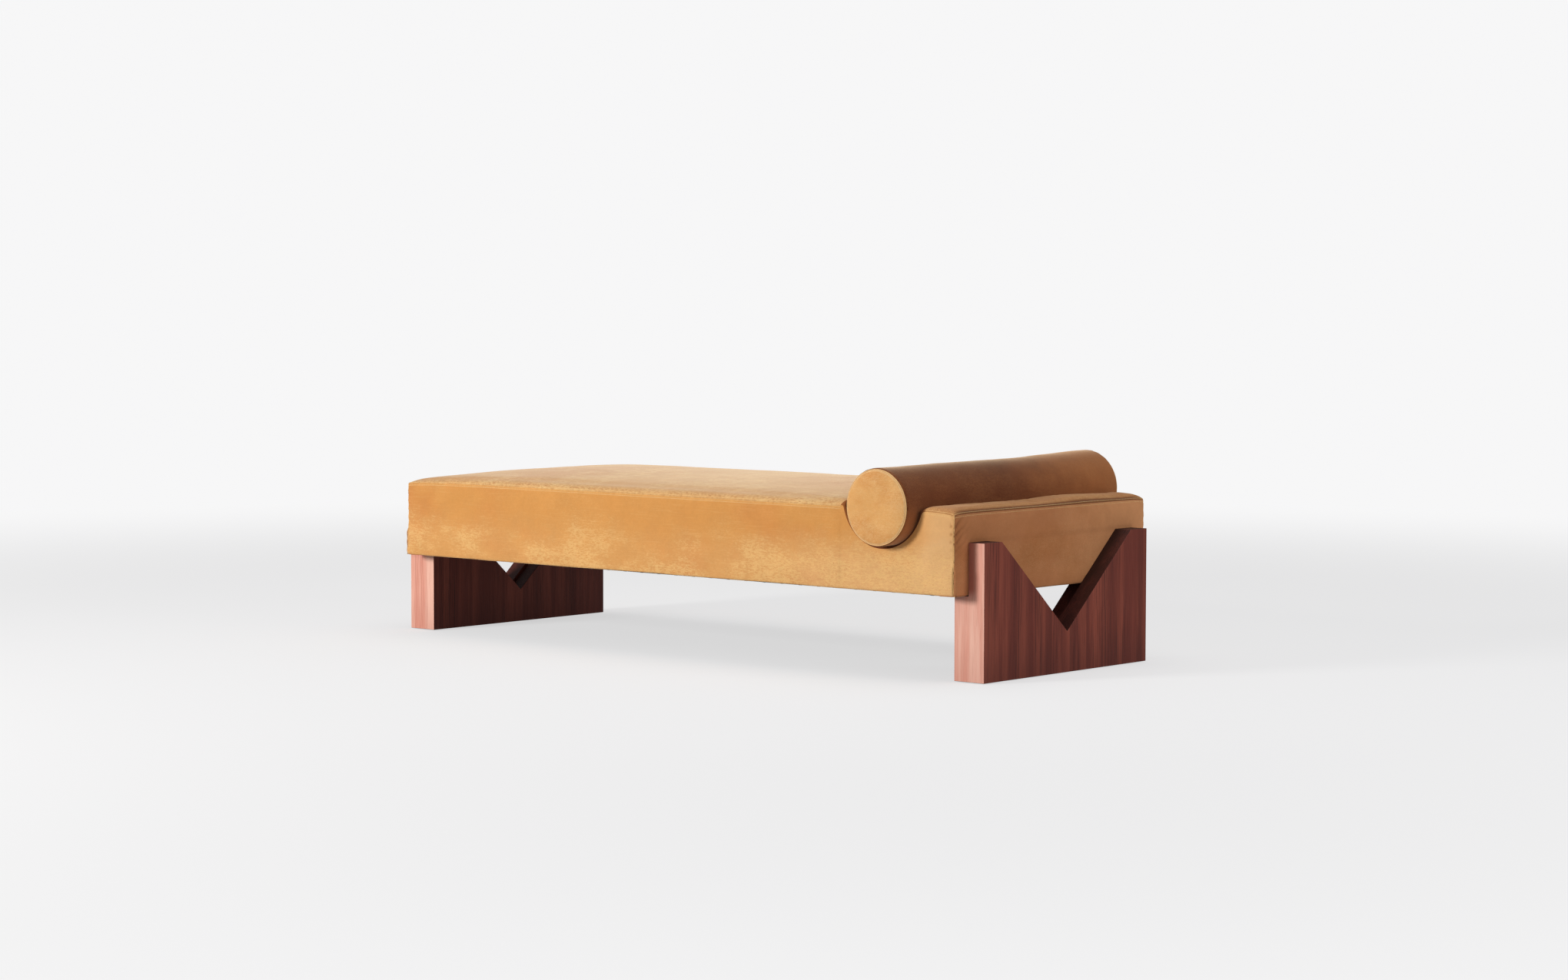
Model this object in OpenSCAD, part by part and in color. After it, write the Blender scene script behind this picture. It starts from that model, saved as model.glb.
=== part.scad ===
// Upholstered daybed on two laminated slab legs, with a loose bolster lying in a groove across the head end.
// +X is the head end, Y runs across the seat and +Z is up. The origin is the middle of the footprint, on
// the floor.

/* [Overall] */
// Length over the outer faces of the two legs
daybed_l = 2000; // [1700:5:2300]
// Width of the seat, over its cover
seat_w = 790; // [700:5:950]
// How far each slab leg stands in from the side of the seat
leg_inset = 57; // [30:1:90]
// Height of the ledge that carries the seat, above the underside of the leg
ledge_h = 209; // [180:1:260]
// Height of a leg's two horns, above its underside
leg_h = 339; // [300:1:400]

/* [Legs] */
// Thickness of a leg's outer board, which stands against the end of the seat
outer_board_t = 48; // [36:1:60]
// Thickness of a leg's inner board, whose top edge is the ledge
inner_board_t = 43; // [30:1:60]
// Width of the flat top of each horn
horn_w = 70; // [50:1:110]
// Height of the notch's point, above the underside of the leg
notch_z = 102; // [70:1:140]
// How much further the inner board's notch is cut back, on each side
notch_step = 13; // [4:1:18]
// Diameter of the dowels that hold the two boards together
board_dowel_d = 12; // [8:1:16]
// Length of those dowels
board_dowel_l = 50; // [40:1:60]
// Diameter of the felt glides under the legs
glide_d = 30; // [20:1:40]
// Thickness of the glides
glide_t = 2; // [1:0.5:5]

/* [Frame] */
// Height of the frame's rails
rail_h = 66; // [50:1:90]
// Thickness of the frame's rails
rail_t = 28; // [20:1:36]
// Number of cross rails between the side rails
cross_rails = 3; // [1:1:5]
// Number of deck slats
slats = 13; // [9:1:17]
// Width of a deck slat
slat_w = 80; // [50:1:90]
// Thickness of a deck slat
slat_t = 12; // [9:1:18]
// Length of the two short sides of a corner block
block_l = 52; // [40:1:54]
// Diameter of the frame's dowels
rail_dowel_d = 10; // [6:1:12]
// Length of the frame's dowels
rail_dowel_l = 44; // [30:1:60]

/* [Upholstery] */
// Height of the side band, from its bottom edge to the top seam
band_h = 203; // [180:1:240]
// How far the middle of the seat crowns above the top seam
crown_rise = 34; // [15:1:50]
// Thickness of the cover
cover_t = 2; // [1.5:0.5:3]
// Width of the cover's return under the frame
return_w = 45; // [36:1:60]
// Thickness of the wadding between cover and foam
wadding_t = 8; // [5:1:12]
// Thickness of the padding between cover and frame
padding_t = 3; // [2:0.5:6]
// How deep the groove bites into the firm foam under the whole seat
groove_bite = 6; // [3:0.5:9]
// Thickness of the dust cover under the frame
dust_cover_t = 1.2; // [1:0.1:2]

/* [Bolster] */
// Diameter of the bolster, over its cover
bolster_d = 191; // [160:1:200]
// How far each end of the bolster stands out past the side of the seat
bolster_overhang = 41; // [20:1:60]
// How much larger than the bolster's radius the groove's radius is
groove_room = 27.5; // [10:0.5:35]
// Distance from the head end of the seat to the middle of the groove
groove_inset = 225; // [210:1:300]
// Height of the bottom of the groove above the deck, over the cover
groove_floor = 29; // [24:1:36]
// Radius of the groove's two lips
lip_r = 20; // [12:1:26]
// How far towards the head end the bolster rests in its groove, in degrees from straight down
bolster_lean = 38; // [0:1:45]
// Thickness of the wadding round the bolster's core
bolster_wadding_t = 8; // [4:1:12]
// Diameter of the welt round each end cap
welt_d = 4.4; // [3:0.2:7]
// Length of the bolster's zip
zip_l = 700; // [500:10:850]
// Width of the zip's tape that shows between the edges of the cover
zip_w = 20; // [16:1:26]

/* [Fixings] */
// Diameter of the leg bolts
bolt_d = 8; // [6:1:10]
// Outside diameter of the threaded inserts in the legs
insert_d = 14; // [12:1:16]
// Length of the threaded inserts
insert_l = 22; // [15:1:30]
// Distance from the side of the leg to the outer bolt
bolt_inset = 58; // [48:1:70]
// Distance between the two bolts in one horn
bolt_spacing = 56; // [40:1:60]
// Diameter of the wood screws
screw_d = 4; // [3:0.5:5]
// Spacing of the staples along the long sides of the dust cover
staple_pitch = 60; // [30:5:120]

/* [Hidden] */
$fn = 96;

// Radial room round dowels, screws and bolts
fit = 0.1;
// Room that a cutting solid runs past the face it cuts
past = 1;

// Levels, from the floor up
leg_z = glide_t;
ledge_z = leg_z + ledge_h;
horn_z = leg_z + leg_h;
return_z = ledge_z + dust_cover_t;
frame_z = return_z + cover_t;
deck_z = frame_z + rail_h;
foam_z = deck_z + slat_t;
foam_inset = cover_t + wadding_t;
foam_split_z = foam_z + groove_floor - foam_inset + groove_bite;
seam_z = return_z + band_h;

// Legs
leg_x = daybed_l / 2;
leg_w = seat_w - 2 * leg_inset;
joint_x = leg_x - outer_board_t;
leg_inner_x = joint_x - inner_board_t;
notch_half = leg_w / 2 - horn_w;
notch_slope = notch_half / (leg_h - notch_z);
inner_notch_z = notch_z - notch_step / notch_slope;
inner_notch_half = (ledge_h - inner_notch_z) * notch_slope;
dowel_low_z = leg_z + ledge_h / 5;
dowel_high_z = leg_z + ledge_h * 3 / 4;
dowel_edge = 38;
dowel_pitch = (leg_w - 2 * dowel_edge) / 5;
glide_edge = glide_d / 2 + 22;
glide_pitch = (leg_w - 2 * glide_edge) / 3;

// Seat: the cover's outer faces, and the frame inside it
seat_x = joint_x;
seat_y = seat_w / 2;
frame_x = seat_x - cover_t - padding_t;
frame_y = seat_y - cover_t - padding_t;
frame_inner_x = frame_x - rail_t;
frame_inner_y = frame_y - rail_t;
cross_pitch = 2 * frame_inner_x / (cross_rails + 1);
slat_pitch = (2 * frame_x - slat_w) / (slats - 1);

// Crown: fullness of the rise towards the ends and towards the sides, and steps along each outline
end_fullness = 10;
side_fullness = 4;
crown_steps = 28;
function swing(i) = sin(-90 + 180 * i / crown_steps);
function crown(u, fullness) = crown_rise * (1 - pow(min(abs(u), 1), fullness));
function crown_z(x) = seam_z + crown(x / seat_x, end_fullness);

// Groove across the head end, and the bolster in it
bolster_r = bolster_d / 2;
groove_r = bolster_r + groove_room;
groove_x = seat_x - groove_inset;
groove_z = foam_z + groove_floor + groove_r;
// Angle at which a lip's arc meets the top, in degrees
lip_turn = 12;
rest_gap = 0.5;
rest_reach = groove_r - bolster_r - rest_gap;
bolster_x = groove_x + rest_reach * sin(bolster_lean);
bolster_z = groove_z - rest_reach * cos(bolster_lean);
wadding_r = bolster_r - cover_t;
core_r = wadding_r - bolster_wadding_t;
cap_y = seat_y + bolster_overhang;
tube_half = cap_y - welt_d;
core_half = cap_y - cover_t;

// Zip, on the side of the bolster that faces the foot end, below its middle
zip_turn = 45;
chain_w = 5;
chain_h = 2;
slider_l = 12;
slider_w = 9;
slider_h = 5;
slider_gap = 0.3;
slider_stop = 8;

// Leg bolts
bolt_z = frame_z + rail_h / 2;
bolt_head_h = 5;
bolt_head_r = bolt_d * 0.85;
washer_t = 1.6;
washer_r = bolt_d * 1.1;
bolt_side = bolt_d / 2 + fit;
bolt_ys = [for (s = [-1, 1], k = [0, 1]) s * (leg_w / 2 - bolt_inset - k * bolt_spacing)];

// Screws and staples
screw_head_r = screw_d;
screw_head_h = screw_d * 0.6;
slat_screw_l = slat_t + rail_h * 0.4;
side_screw_l = rail_t + 32;
corner_screw_l = 44;
corner_reach = block_l * 0.42;
staple_w = 10;
staple_wire = 0.9;
staple_leg = 10;
staple_y = frame_y - rail_t / 2;
staple_run = leg_inner_x - 2 * staple_w;
staple_count = floor(2 * staple_run / staple_pitch);
dust_edge = 10;

wood = [0.36, 0.17, 0.13];
pine = [0.84, 0.70, 0.48];
velvet = [0.85, 0.62, 0.34];
foam = [0.95, 0.92, 0.78];
fleece = [0.95, 0.95, 0.93];
steel = [0.72, 0.73, 0.75];
black = [0.10, 0.10, 0.11];

// ---- Helpers ----

// Draws its children at the head end as they are, or turned about for the foot end
module at_end(foot = false) {
    mirror([foot ? 1 : 0, 0, 0]) children();
}

// Extrudes a Y-Z outline along X, from x0 to x1
module slab_x(x0, x1) {
    translate([x0, 0, 0]) rotate([90, 0, 90]) linear_extrude(x1 - x0) children();
}

// Extrudes an X-Z outline along Y, from y0 to y1
module slab_y(y0, y1) {
    translate([0, y1, 0]) rotate([90, 0, 0]) linear_extrude(y1 - y0) children();
}

// A box from its low corner to its high corner
module block(low, high) {
    translate(low) cube(high - low);
}

// A round bar of radius r along X, from x0 to x1
module bar_x(r, x0, x1) {
    translate([x0, 0, 0]) rotate([0, 90, 0]) cylinder(r = r, h = x1 - x0);
}

// A round bar of radius r along Y, from y0 to y1
module bar_y(r, y0, y1) {
    translate([0, y0, 0]) rotate([-90, 0, 0]) cylinder(r = r, h = y1 - y0);
}

// A countersunk wood screw, its head flush with z = 0 and its shank pointing down
module screw(shank_l, room = 0) {
    shank_r = screw_d / 2 + room;
    translate([0, 0, -screw_head_h]) cylinder(r1 = shank_r, r2 = screw_head_r + room, h = screw_head_h);
    translate([0, 0, -shank_l - room]) cylinder(r = shank_r, h = shank_l - screw_head_h + 2 * room);
}

// ---- Legs ----

module outer_outline() {
    polygon([
        [-leg_w / 2, leg_z], [leg_w / 2, leg_z], [leg_w / 2, horn_z], [notch_half, horn_z],
        [0, leg_z + notch_z], [-notch_half, horn_z], [-leg_w / 2, horn_z]
    ]);
}

module inner_outline() {
    polygon([
        [-leg_w / 2, leg_z], [leg_w / 2, leg_z], [leg_w / 2, ledge_z], [inner_notch_half, ledge_z],
        [0, leg_z + inner_notch_z], [-inner_notch_half, ledge_z], [-leg_w / 2, ledge_z]
    ]);
}

// Places children at each dowel between the boards: a full row near the floor and the outer four above
module at_board_dowels() {
    first_y = -leg_w / 2 + dowel_edge;
    for (k = [0:5]) translate([joint_x, first_y + k * dowel_pitch, dowel_low_z]) children();
    for (k = [0, 1, 4, 5]) translate([joint_x, first_y + k * dowel_pitch, dowel_high_z]) children();
}

module at_bolts() {
    for (y = bolt_ys) translate([0, y, bolt_z]) children();
}

module board_dowels(room = 0) {
    half = board_dowel_l / 2 + room;
    at_board_dowels() bar_x(board_dowel_d / 2 + room, -half, half);
}

module outer_board() {
    color(wood) difference() {
        slab_x(joint_x, leg_x) outer_outline();
        board_dowels(fit);
        at_bolts() bar_x(insert_d / 2 + fit, joint_x - past, joint_x + insert_l + fit);
    }
}

module inner_board() {
    color(wood) difference() {
        slab_x(leg_inner_x, joint_x) inner_outline();
        board_dowels(fit);
    }
}

module leg_dowels() {
    color(pine) board_dowels();
}

module leg_glides() {
    mid_x = (leg_x + leg_inner_x) / 2;
    color(black)
        for (k = [0:3])
            translate([mid_x, -leg_w / 2 + glide_edge + k * glide_pitch, 0])
                cylinder(d = glide_d, h = glide_t);
}

module leg_inserts() {
    color(steel) at_bolts() difference() {
        bar_x(insert_d / 2, joint_x, joint_x + insert_l);
        bar_x(bolt_side, joint_x - past, joint_x + insert_l + past);
    }
}

module leg_bolts() {
    seat = frame_inner_x - washer_t;
    socket_r = bolt_d * 0.36;
    color(steel) at_bolts() {
        difference() {
            union() {
                bar_x(bolt_head_r, seat - bolt_head_h, seat);
                bar_x(bolt_d / 2, seat - past, joint_x + insert_l);
            }
            translate([seat - bolt_head_h - past, 0, 0]) rotate([0, 90, 0])
                cylinder(r = socket_r, h = bolt_head_h / 2 + past, $fn = 6);
        }
    }
}

module leg_washers() {
    color(steel) at_bolts() difference() {
        bar_x(washer_r, frame_inner_x - washer_t, frame_inner_x);
        bar_x(bolt_side, frame_inner_x - washer_t - past, frame_inner_x + past);
    }
}

module head_leg_outer_board() { at_end() outer_board(); }
module head_leg_inner_board() { at_end() inner_board(); }
module head_leg_dowels() { at_end() leg_dowels(); }
module head_leg_glides() { at_end() leg_glides(); }
module head_leg_inserts() { at_end() leg_inserts(); }
module head_leg_bolts() { at_end() leg_bolts(); }
module head_leg_washers() { at_end() leg_washers(); }
module foot_leg_outer_board() { at_end(foot = true) outer_board(); }
module foot_leg_inner_board() { at_end(foot = true) inner_board(); }
module foot_leg_dowels() { at_end(foot = true) leg_dowels(); }
module foot_leg_glides() { at_end(foot = true) leg_glides(); }
module foot_leg_inserts() { at_end(foot = true) leg_inserts(); }
module foot_leg_bolts() { at_end(foot = true) leg_bolts(); }
module foot_leg_washers() { at_end(foot = true) leg_washers(); }

// ---- Frame ----

// Holes along X that the leg bolts pass through, from x0 to x1
module bolt_holes(x0, x1) {
    at_bolts() bar_x(bolt_side, x0, x1);
}

module frame_dowels(room = 0) {
    half = rail_dowel_l / 2 + room;
    for (sx = [-1, 1], sy = [-1, 1], k = [1, 3])
        translate([sx * (frame_x - rail_t / 2), sy * frame_inner_y, frame_z + rail_h * k / 4])
            bar_y(rail_dowel_d / 2 + room, -half, half);
}

// Screws down through each end of each slat into a side rail
module slat_fixings(room = 0) {
    for (i = [0:slats - 1], sy = [-1, 1])
        translate([-frame_x + slat_w / 2 + i * slat_pitch, sy * (frame_y - rail_t / 2 + 4), foam_z])
            screw(slat_screw_l, room);
}

// Screws in from the outside of each side rail into the ends of the cross rails, below the slat screws
module cross_fixings(room = 0) {
    for (i = [1:cross_rails], sy = [-1, 1], share = [0.2, 0.48])
        translate([-frame_inner_x + i * cross_pitch, sy * frame_y, frame_z + rail_h * share])
            rotate([-sy * 90, 0, 0]) screw(side_screw_l, room);
}

// One screw from each corner block into the end rail, and one above it into the side rail
module corner_fixings(room = 0) {
    head_reach = block_l - corner_reach;
    low_z = frame_z + rail_h / 2;
    high_z = frame_z + rail_h * 3 / 4;
    for (sx = [-1, 1], sy = [-1, 1]) {
        translate([sx * (frame_inner_x - head_reach), sy * (frame_inner_y - corner_reach), low_z])
            rotate([0, -sx * 90, 0]) screw(corner_screw_l, room);
        translate([sx * (frame_inner_x - corner_reach), sy * (frame_inner_y - head_reach), high_z])
            rotate([sy * 90, 0, 0]) screw(corner_screw_l, room);
    }
}

module side_rail(side) {
    color(pine) difference() {
        block([-frame_x, side > 0 ? frame_inner_y : -frame_y, frame_z],
              [frame_x, side > 0 ? frame_y : -frame_inner_y, deck_z]);
        frame_dowels(fit);
        slat_fixings(fit);
        cross_fixings(fit);
        corner_fixings(fit);
    }
}

module side_rail_front() { side_rail(-1); }
module side_rail_back() { side_rail(1); }

module end_rail() {
    color(pine) difference() {
        block([frame_inner_x, -frame_inner_y, frame_z], [frame_x, frame_inner_y, deck_z]);
        frame_dowels(fit);
        corner_fixings(fit);
        bolt_holes(frame_inner_x - past, frame_x + past);
    }
}

module end_rail_head() { at_end() end_rail(); }
module end_rail_foot() { at_end(foot = true) end_rail(); }

module cross_rails() {
    color(pine) difference() {
        for (i = [1:cross_rails])
            translate([-frame_inner_x + i * cross_pitch - rail_t / 2, -frame_inner_y, frame_z])
                cube([rail_t, 2 * frame_inner_y, rail_h]);
        cross_fixings(fit);
    }
}

module corner_blocks() {
    color(pine) difference() {
        for (sx = [-1, 1], sy = [-1, 1])
            translate([sx * frame_inner_x, sy * frame_inner_y, frame_z])
                linear_extrude(rail_h) polygon([[0, 0], [-sx * block_l, 0], [0, -sy * block_l]]);
        corner_fixings(fit);
    }
}

module rail_dowels() { color(pine) frame_dowels(); }
module corner_screws() { color(steel) corner_fixings(); }
module cross_rail_screws() { color(steel) cross_fixings(); }
module slat_screws() { color(steel) slat_fixings(); }

module deck_slats() {
    color(pine) difference() {
        for (i = [0:slats - 1])
            translate([-frame_x + i * slat_pitch, -frame_y, deck_z]) cube([slat_w, 2 * frame_y, slat_t]);
        slat_fixings(fit);
    }
}

module frame_padding() {
    color(fleece) difference() {
        block([-frame_x - padding_t, -frame_y - padding_t, frame_z],
              [frame_x + padding_t, frame_y + padding_t, foam_z]);
        block([-frame_x, -frame_y, frame_z - past], [frame_x, frame_y, foam_z + past]);
        bolt_holes(frame_x - past, seat_x + past);
        mirror([1, 0, 0]) bolt_holes(frame_x - past, seat_x + past);
    }
}

// ---- Seat ----

// The corner that a lip takes off: sx is -1 for the lip towards the foot end, top_z the top's height there
module lip_cut(sx, top_z, inset) {
    r = lip_r - min(inset, lip_r / 2);
    face_z = top_z - inset;
    centre_z = face_z - r * cos(lip_turn);
    reach = groove_r + inset + r;
    drop = groove_z - centre_z;
    out = sqrt(reach * reach - drop * drop);
    meet = out - r * sin(lip_turn);
    share = (groove_r + inset) / reach;
    translate([groove_x, 0]) mirror([sx < 0 ? 1 : 0, 0]) difference() {
        polygon([
            [out, centre_z], [meet, face_z], [meet, face_z + 2 * crown_rise], [0, face_z + 2 * crown_rise],
            [0, groove_z], [out * share, groove_z - drop * share]
        ]);
        translate([out, centre_z]) circle(r = r);
    }
}

// Groove and both lips, for a top at foot_z on the foot side of the groove and head_z on the head side
module groove_cut(foot_z, head_z, inset) {
    translate([groove_x, groove_z]) circle(r = groove_r + inset);
    lip_cut(-1, foot_z, inset);
    lip_cut(1, head_z, inset);
}

// Crowned outline cut to a half length: its face follows the whole seat's crown, whatever half is kept
module crowned(half, length, fullness, depth, low_z) {
    reach = length + 2 * past;
    face_z = seam_z - depth;
    intersection() {
        polygon(concat(
            [[reach, low_z], [-reach, low_z], [-reach, face_z]],
            [for (i = [0:crown_steps]) [swing(i) * length, face_z + crown(swing(i), fullness)]],
            [[reach, face_z]]
        ));
        translate([-half, low_z - past]) square([2 * half, face_z + 2 * crown_rise - low_z]);
    }
}

// Seat outline in X-Z: its top lies depth below the cover's face, and its ends side in from the cover's ends
module long_outline(depth, side, low_z) {
    lip_reach = groove_r + lip_r;
    difference() {
        crowned(seat_x - side, seat_x, end_fullness, depth, low_z);
        groove_cut(crown_z(groove_x - lip_reach), crown_z(groove_x + lip_reach), depth);
    }
}

// Seat outline in Y-Z, in the same way
module cross_outline(depth, side, low_z) {
    crowned(seat_y - side, seat_y, side_fullness, depth, low_z);
}

// The seat's whole form: its top lies depth below the cover's face, and its walls side in from the cover's
module seat_form(depth, side, low_z) {
    intersection() {
        slab_y(-seat_y + side, seat_y - side) long_outline(depth, side, low_z);
        slab_x(-seat_x + side, seat_x - side) cross_outline(depth, side, low_z);
    }
}

module base_foam() {
    color(foam) intersection() {
        seat_form(foam_inset, foam_inset, foam_z);
        block([-seat_x, -seat_y, foam_z], [seat_x, seat_y, foam_split_z]);
    }
}

module seat_foam() {
    color(foam) intersection() {
        seat_form(foam_inset, foam_inset, foam_split_z);
        block([-seat_x, -seat_y, foam_split_z], [groove_x, seat_y, seam_z + crown_rise]);
    }
}

module head_foam() {
    color(foam) intersection() {
        seat_form(foam_inset, foam_inset, foam_split_z);
        block([groove_x, -seat_y, foam_split_z], [seat_x, seat_y, seam_z + crown_rise]);
    }
}

module seat_wadding() {
    color(fleece) difference() {
        seat_form(cover_t, cover_t, foam_z);
        seat_form(foam_inset, foam_inset, foam_z - past);
    }
}

module cover_top_panel() {
    color(velvet) difference() {
        seat_form(0, cover_t, foam_z);
        seat_form(cover_t, -past, foam_z - past);
    }
}

// A side band: its face follows the seam and dips under the groove, and its return folds under the frame
module side_band(side) {
    face_low = side > 0 ? seat_y - cover_t : -seat_y;
    color(velvet) {
        slab_y(face_low, face_low + cover_t) difference() {
            translate([-seat_x, return_z]) square([2 * seat_x, seam_z - return_z]);
            groove_cut(seam_z, seam_z, 0);
        }
        block([-seat_x + cover_t, side > 0 ? seat_y - return_w : -seat_y + cover_t, return_z],
              [seat_x - cover_t, side > 0 ? seat_y - cover_t : -seat_y + return_w, frame_z]);
    }
}

module cover_front_band() { side_band(-1); }
module cover_back_band() { side_band(1); }

module end_panel() {
    color(velvet) difference() {
        union() {
            block([seat_x - cover_t, -seat_y + cover_t, return_z], [seat_x, seat_y - cover_t, seam_z]);
            block([seat_x - return_w, -seat_y + return_w, return_z], [seat_x, seat_y - return_w, frame_z]);
        }
        bolt_holes(seat_x - cover_t - past, seat_x + past);
    }
}

module cover_head_panel() { at_end() end_panel(); }
module cover_foot_panel() { at_end(foot = true) end_panel(); }

module dust_cover() {
    color(black)
        block([-seat_x + dust_edge, -seat_y + dust_edge, ledge_z],
              [seat_x - dust_edge, seat_y - dust_edge, return_z]);
}

module staples() {
    color(steel)
        for (i = [0:staple_count], sy = [-1, 1])
            translate([(i - staple_count / 2) * staple_pitch, sy * staple_y, ledge_z]) {
                half = staple_wire / 2;
                block([-staple_w / 2, -half, -staple_wire], [staple_w / 2, half, 0]);
                for (sx = [-1, 1])
                    translate([sx * (staple_w / 2 - half) - half, -half, -half])
                        cube([staple_wire, staple_wire, staple_leg]);
            }
}

// ---- Bolster ----

// Places children on the bolster's axis
module on_bolster() {
    translate([bolster_x, 0, bolster_z]) children();
}

// Places children on the bolster's axis, with +Z pointing out at the zip and Y along the bolster
module on_zip() {
    on_bolster() rotate([0, zip_turn, 0]) mirror([0, 0, 1]) children();
}

module cover_skin() {
    difference() {
        bar_y(bolster_r, -tube_half, tube_half);
        bar_y(wadding_r, -tube_half - past, tube_half + past);
    }
}

module zip_slot() {
    block([-zip_w / 2, -zip_l / 2, core_r], [zip_w / 2, zip_l / 2, bolster_r + past]);
}

module bolster_core() {
    color(foam) on_bolster() bar_y(core_r, -core_half, core_half);
}

module bolster_wadding() {
    color(fleece) on_bolster() difference() {
        bar_y(wadding_r, -tube_half, tube_half);
        bar_y(core_r, -tube_half - past, tube_half + past);
    }
}

module bolster_cover_tube() {
    color(velvet) difference() {
        on_bolster() cover_skin();
        on_zip() zip_slot();
    }
}

// The cap's disc lies inside its welt
module bolster_cap(side) {
    color(velvet) on_bolster()
        bar_y(bolster_r - welt_d, side > 0 ? core_half : -cap_y, side > 0 ? cap_y : -core_half);
}

module bolster_cap_front() { bolster_cap(-1); }
module bolster_cap_back() { bolster_cap(1); }

module bolster_welt(side) {
    welt_r = welt_d / 2;
    color(velvet) on_bolster() translate([0, side * (cap_y - welt_r), 0]) rotate([90, 0, 0])
        rotate_extrude() translate([bolster_r - welt_r, 0]) circle(r = welt_r, $fn = 32);
}

module bolster_welt_front() { bolster_welt(-1); }
module bolster_welt_back() { bolster_welt(1); }

module zip_tape() {
    color(velvet) intersection() {
        on_bolster() cover_skin();
        on_zip() zip_slot();
    }
}

module zip_chain() {
    color(black) on_zip()
        block([-chain_w / 2, -zip_l / 2 + slider_stop / 2, bolster_r],
              [chain_w / 2, zip_l / 2 - slider_stop / 2, bolster_r + chain_h]);
}

module zip_slider() {
    low_z = bolster_r + slider_gap;
    start_y = -zip_l / 2 + slider_stop;
    color(steel) on_zip() difference() {
        block([-slider_w / 2, start_y, low_z], [slider_w / 2, start_y + slider_l, low_z + slider_h]);
        block([-chain_w / 2 - slider_gap, start_y - past, low_z - past],
              [chain_w / 2 + slider_gap, start_y + slider_l + past, bolster_r + chain_h + slider_gap]);
    }
}

head_leg_outer_board();
head_leg_inner_board();
head_leg_dowels();
head_leg_glides();
head_leg_inserts();
head_leg_bolts();
head_leg_washers();
foot_leg_outer_board();
foot_leg_inner_board();
foot_leg_dowels();
foot_leg_glides();
foot_leg_inserts();
foot_leg_bolts();
foot_leg_washers();
side_rail_front();
side_rail_back();
end_rail_head();
end_rail_foot();
cross_rails();
corner_blocks();
rail_dowels();
corner_screws();
cross_rail_screws();
deck_slats();
slat_screws();
frame_padding();
base_foam();
seat_foam();
head_foam();
seat_wadding();
cover_top_panel();
cover_front_band();
cover_back_band();
cover_head_panel();
cover_foot_panel();
dust_cover();
staples();
bolster_core();
bolster_wadding();
bolster_cover_tube();
bolster_cap_front();
bolster_cap_back();
bolster_welt_front();
bolster_welt_back();
zip_tape();
zip_chain();
zip_slider();
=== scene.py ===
"""A velvet daybed: one upholstered seat on two notched slab legs, with a round bolster lying in a groove."""
import math

import bmesh
import bpy
import numpy as np
from mathutils import Matrix, Vector, noise
from mathutils.kdtree import KDTree


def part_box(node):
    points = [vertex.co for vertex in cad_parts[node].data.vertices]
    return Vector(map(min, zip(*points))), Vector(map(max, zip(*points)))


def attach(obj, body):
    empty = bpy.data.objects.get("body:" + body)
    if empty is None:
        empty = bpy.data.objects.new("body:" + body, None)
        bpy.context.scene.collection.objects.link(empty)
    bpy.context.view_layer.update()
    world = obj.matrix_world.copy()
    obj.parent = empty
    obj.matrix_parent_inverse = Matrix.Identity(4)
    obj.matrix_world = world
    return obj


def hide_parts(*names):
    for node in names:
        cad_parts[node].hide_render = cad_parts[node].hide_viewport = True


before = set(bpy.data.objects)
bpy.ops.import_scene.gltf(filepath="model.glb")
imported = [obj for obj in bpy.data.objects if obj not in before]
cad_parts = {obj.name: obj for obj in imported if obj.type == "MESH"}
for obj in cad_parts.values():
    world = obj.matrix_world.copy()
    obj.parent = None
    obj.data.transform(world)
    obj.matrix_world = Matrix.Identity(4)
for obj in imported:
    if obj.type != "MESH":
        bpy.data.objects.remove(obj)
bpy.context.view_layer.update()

MM = 0.001

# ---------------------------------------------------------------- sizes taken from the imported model

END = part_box("cover_head_panel")[1].x
SIDE = -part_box("cover_front_band")[0].y
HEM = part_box("cover_front_band")[0].z
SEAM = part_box("cover_front_band")[1].z
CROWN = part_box("cover_top_panel")[1].z
FRAME_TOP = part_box("side_rail_front")[1].z
TUBE_LOW, TUBE_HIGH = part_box("bolster_cover_tube")
AXIS_X, AXIS_Z = (TUBE_LOW.x + TUBE_HIGH.x) / 2, (TUBE_LOW.z + TUBE_HIGH.z) / 2
BOLSTER_R = (TUBE_HIGH.z - TUBE_LOW.z) / 2
BOLSTER_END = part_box("bolster_cap_back")[1].y
BOARD_FACE, BOARD_Y, BOARD_TOP = (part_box("head_leg_outer_board")[i][j] for i, j in ((0, 0), (1, 1), (1, 2)))

# ---------------------------------------------------------------- how the covers are made up, in metres

GROOVE_X, GROOVE_Z, GROOVE_R = 0.7285, 0.4442, 0.1215
FOOT_LIP, HEAD_LIP = 0.019, 0.026  # how softly the seat turns down into the groove on each side
ROLL_RUN, ROLL_RISE = 0.030, 0.015  # the soft roll along the seat's top edge
FOLD = 0.0055  # the fold where the groove's lining turns onto the side bands
CORNER = 0.007  # the vertical corners' rounding
HEM_TURN = 0.005
BACK_LIFT, FRONT_SINK = 0.0095, 0.0018  # the bolster's back end lies higher than its middle, its front lower
LIFT_RUN = (0.10, 0.43)  # where along the bolster that begins and ends
HEM_RETURN = 0.045  # the cover runs this far in under the frame
STITCH_GAP = 0.0055  # each row of top stitching lies this far from the seam
STITCH_PITCH, STITCH_LONG, THREAD_R = 0.0046, 0.0039, 0.00065
STITCH_ROW = 6  # the lattice row that the top stitching follows
ROLL_CREASE = 0.0105  # the crease in each end's roll lies this far from the seam
PUCKER_WAVE, CREASE_WAVE = 0.0185, 0.024  # the spacing of the puckers at the corners and of the long creases
BOARD_GAP = 0.0004  # the cover stops this far short of the tall outer boards
SEAT_SWELL, BOLSTER_SWELL = 0.0024, 0.0030  # the most that the fillings push their covers out
PRESSURE = 4.0
BEAD_R = 0.0011  # the corner seams' and the welts' radius
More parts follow.
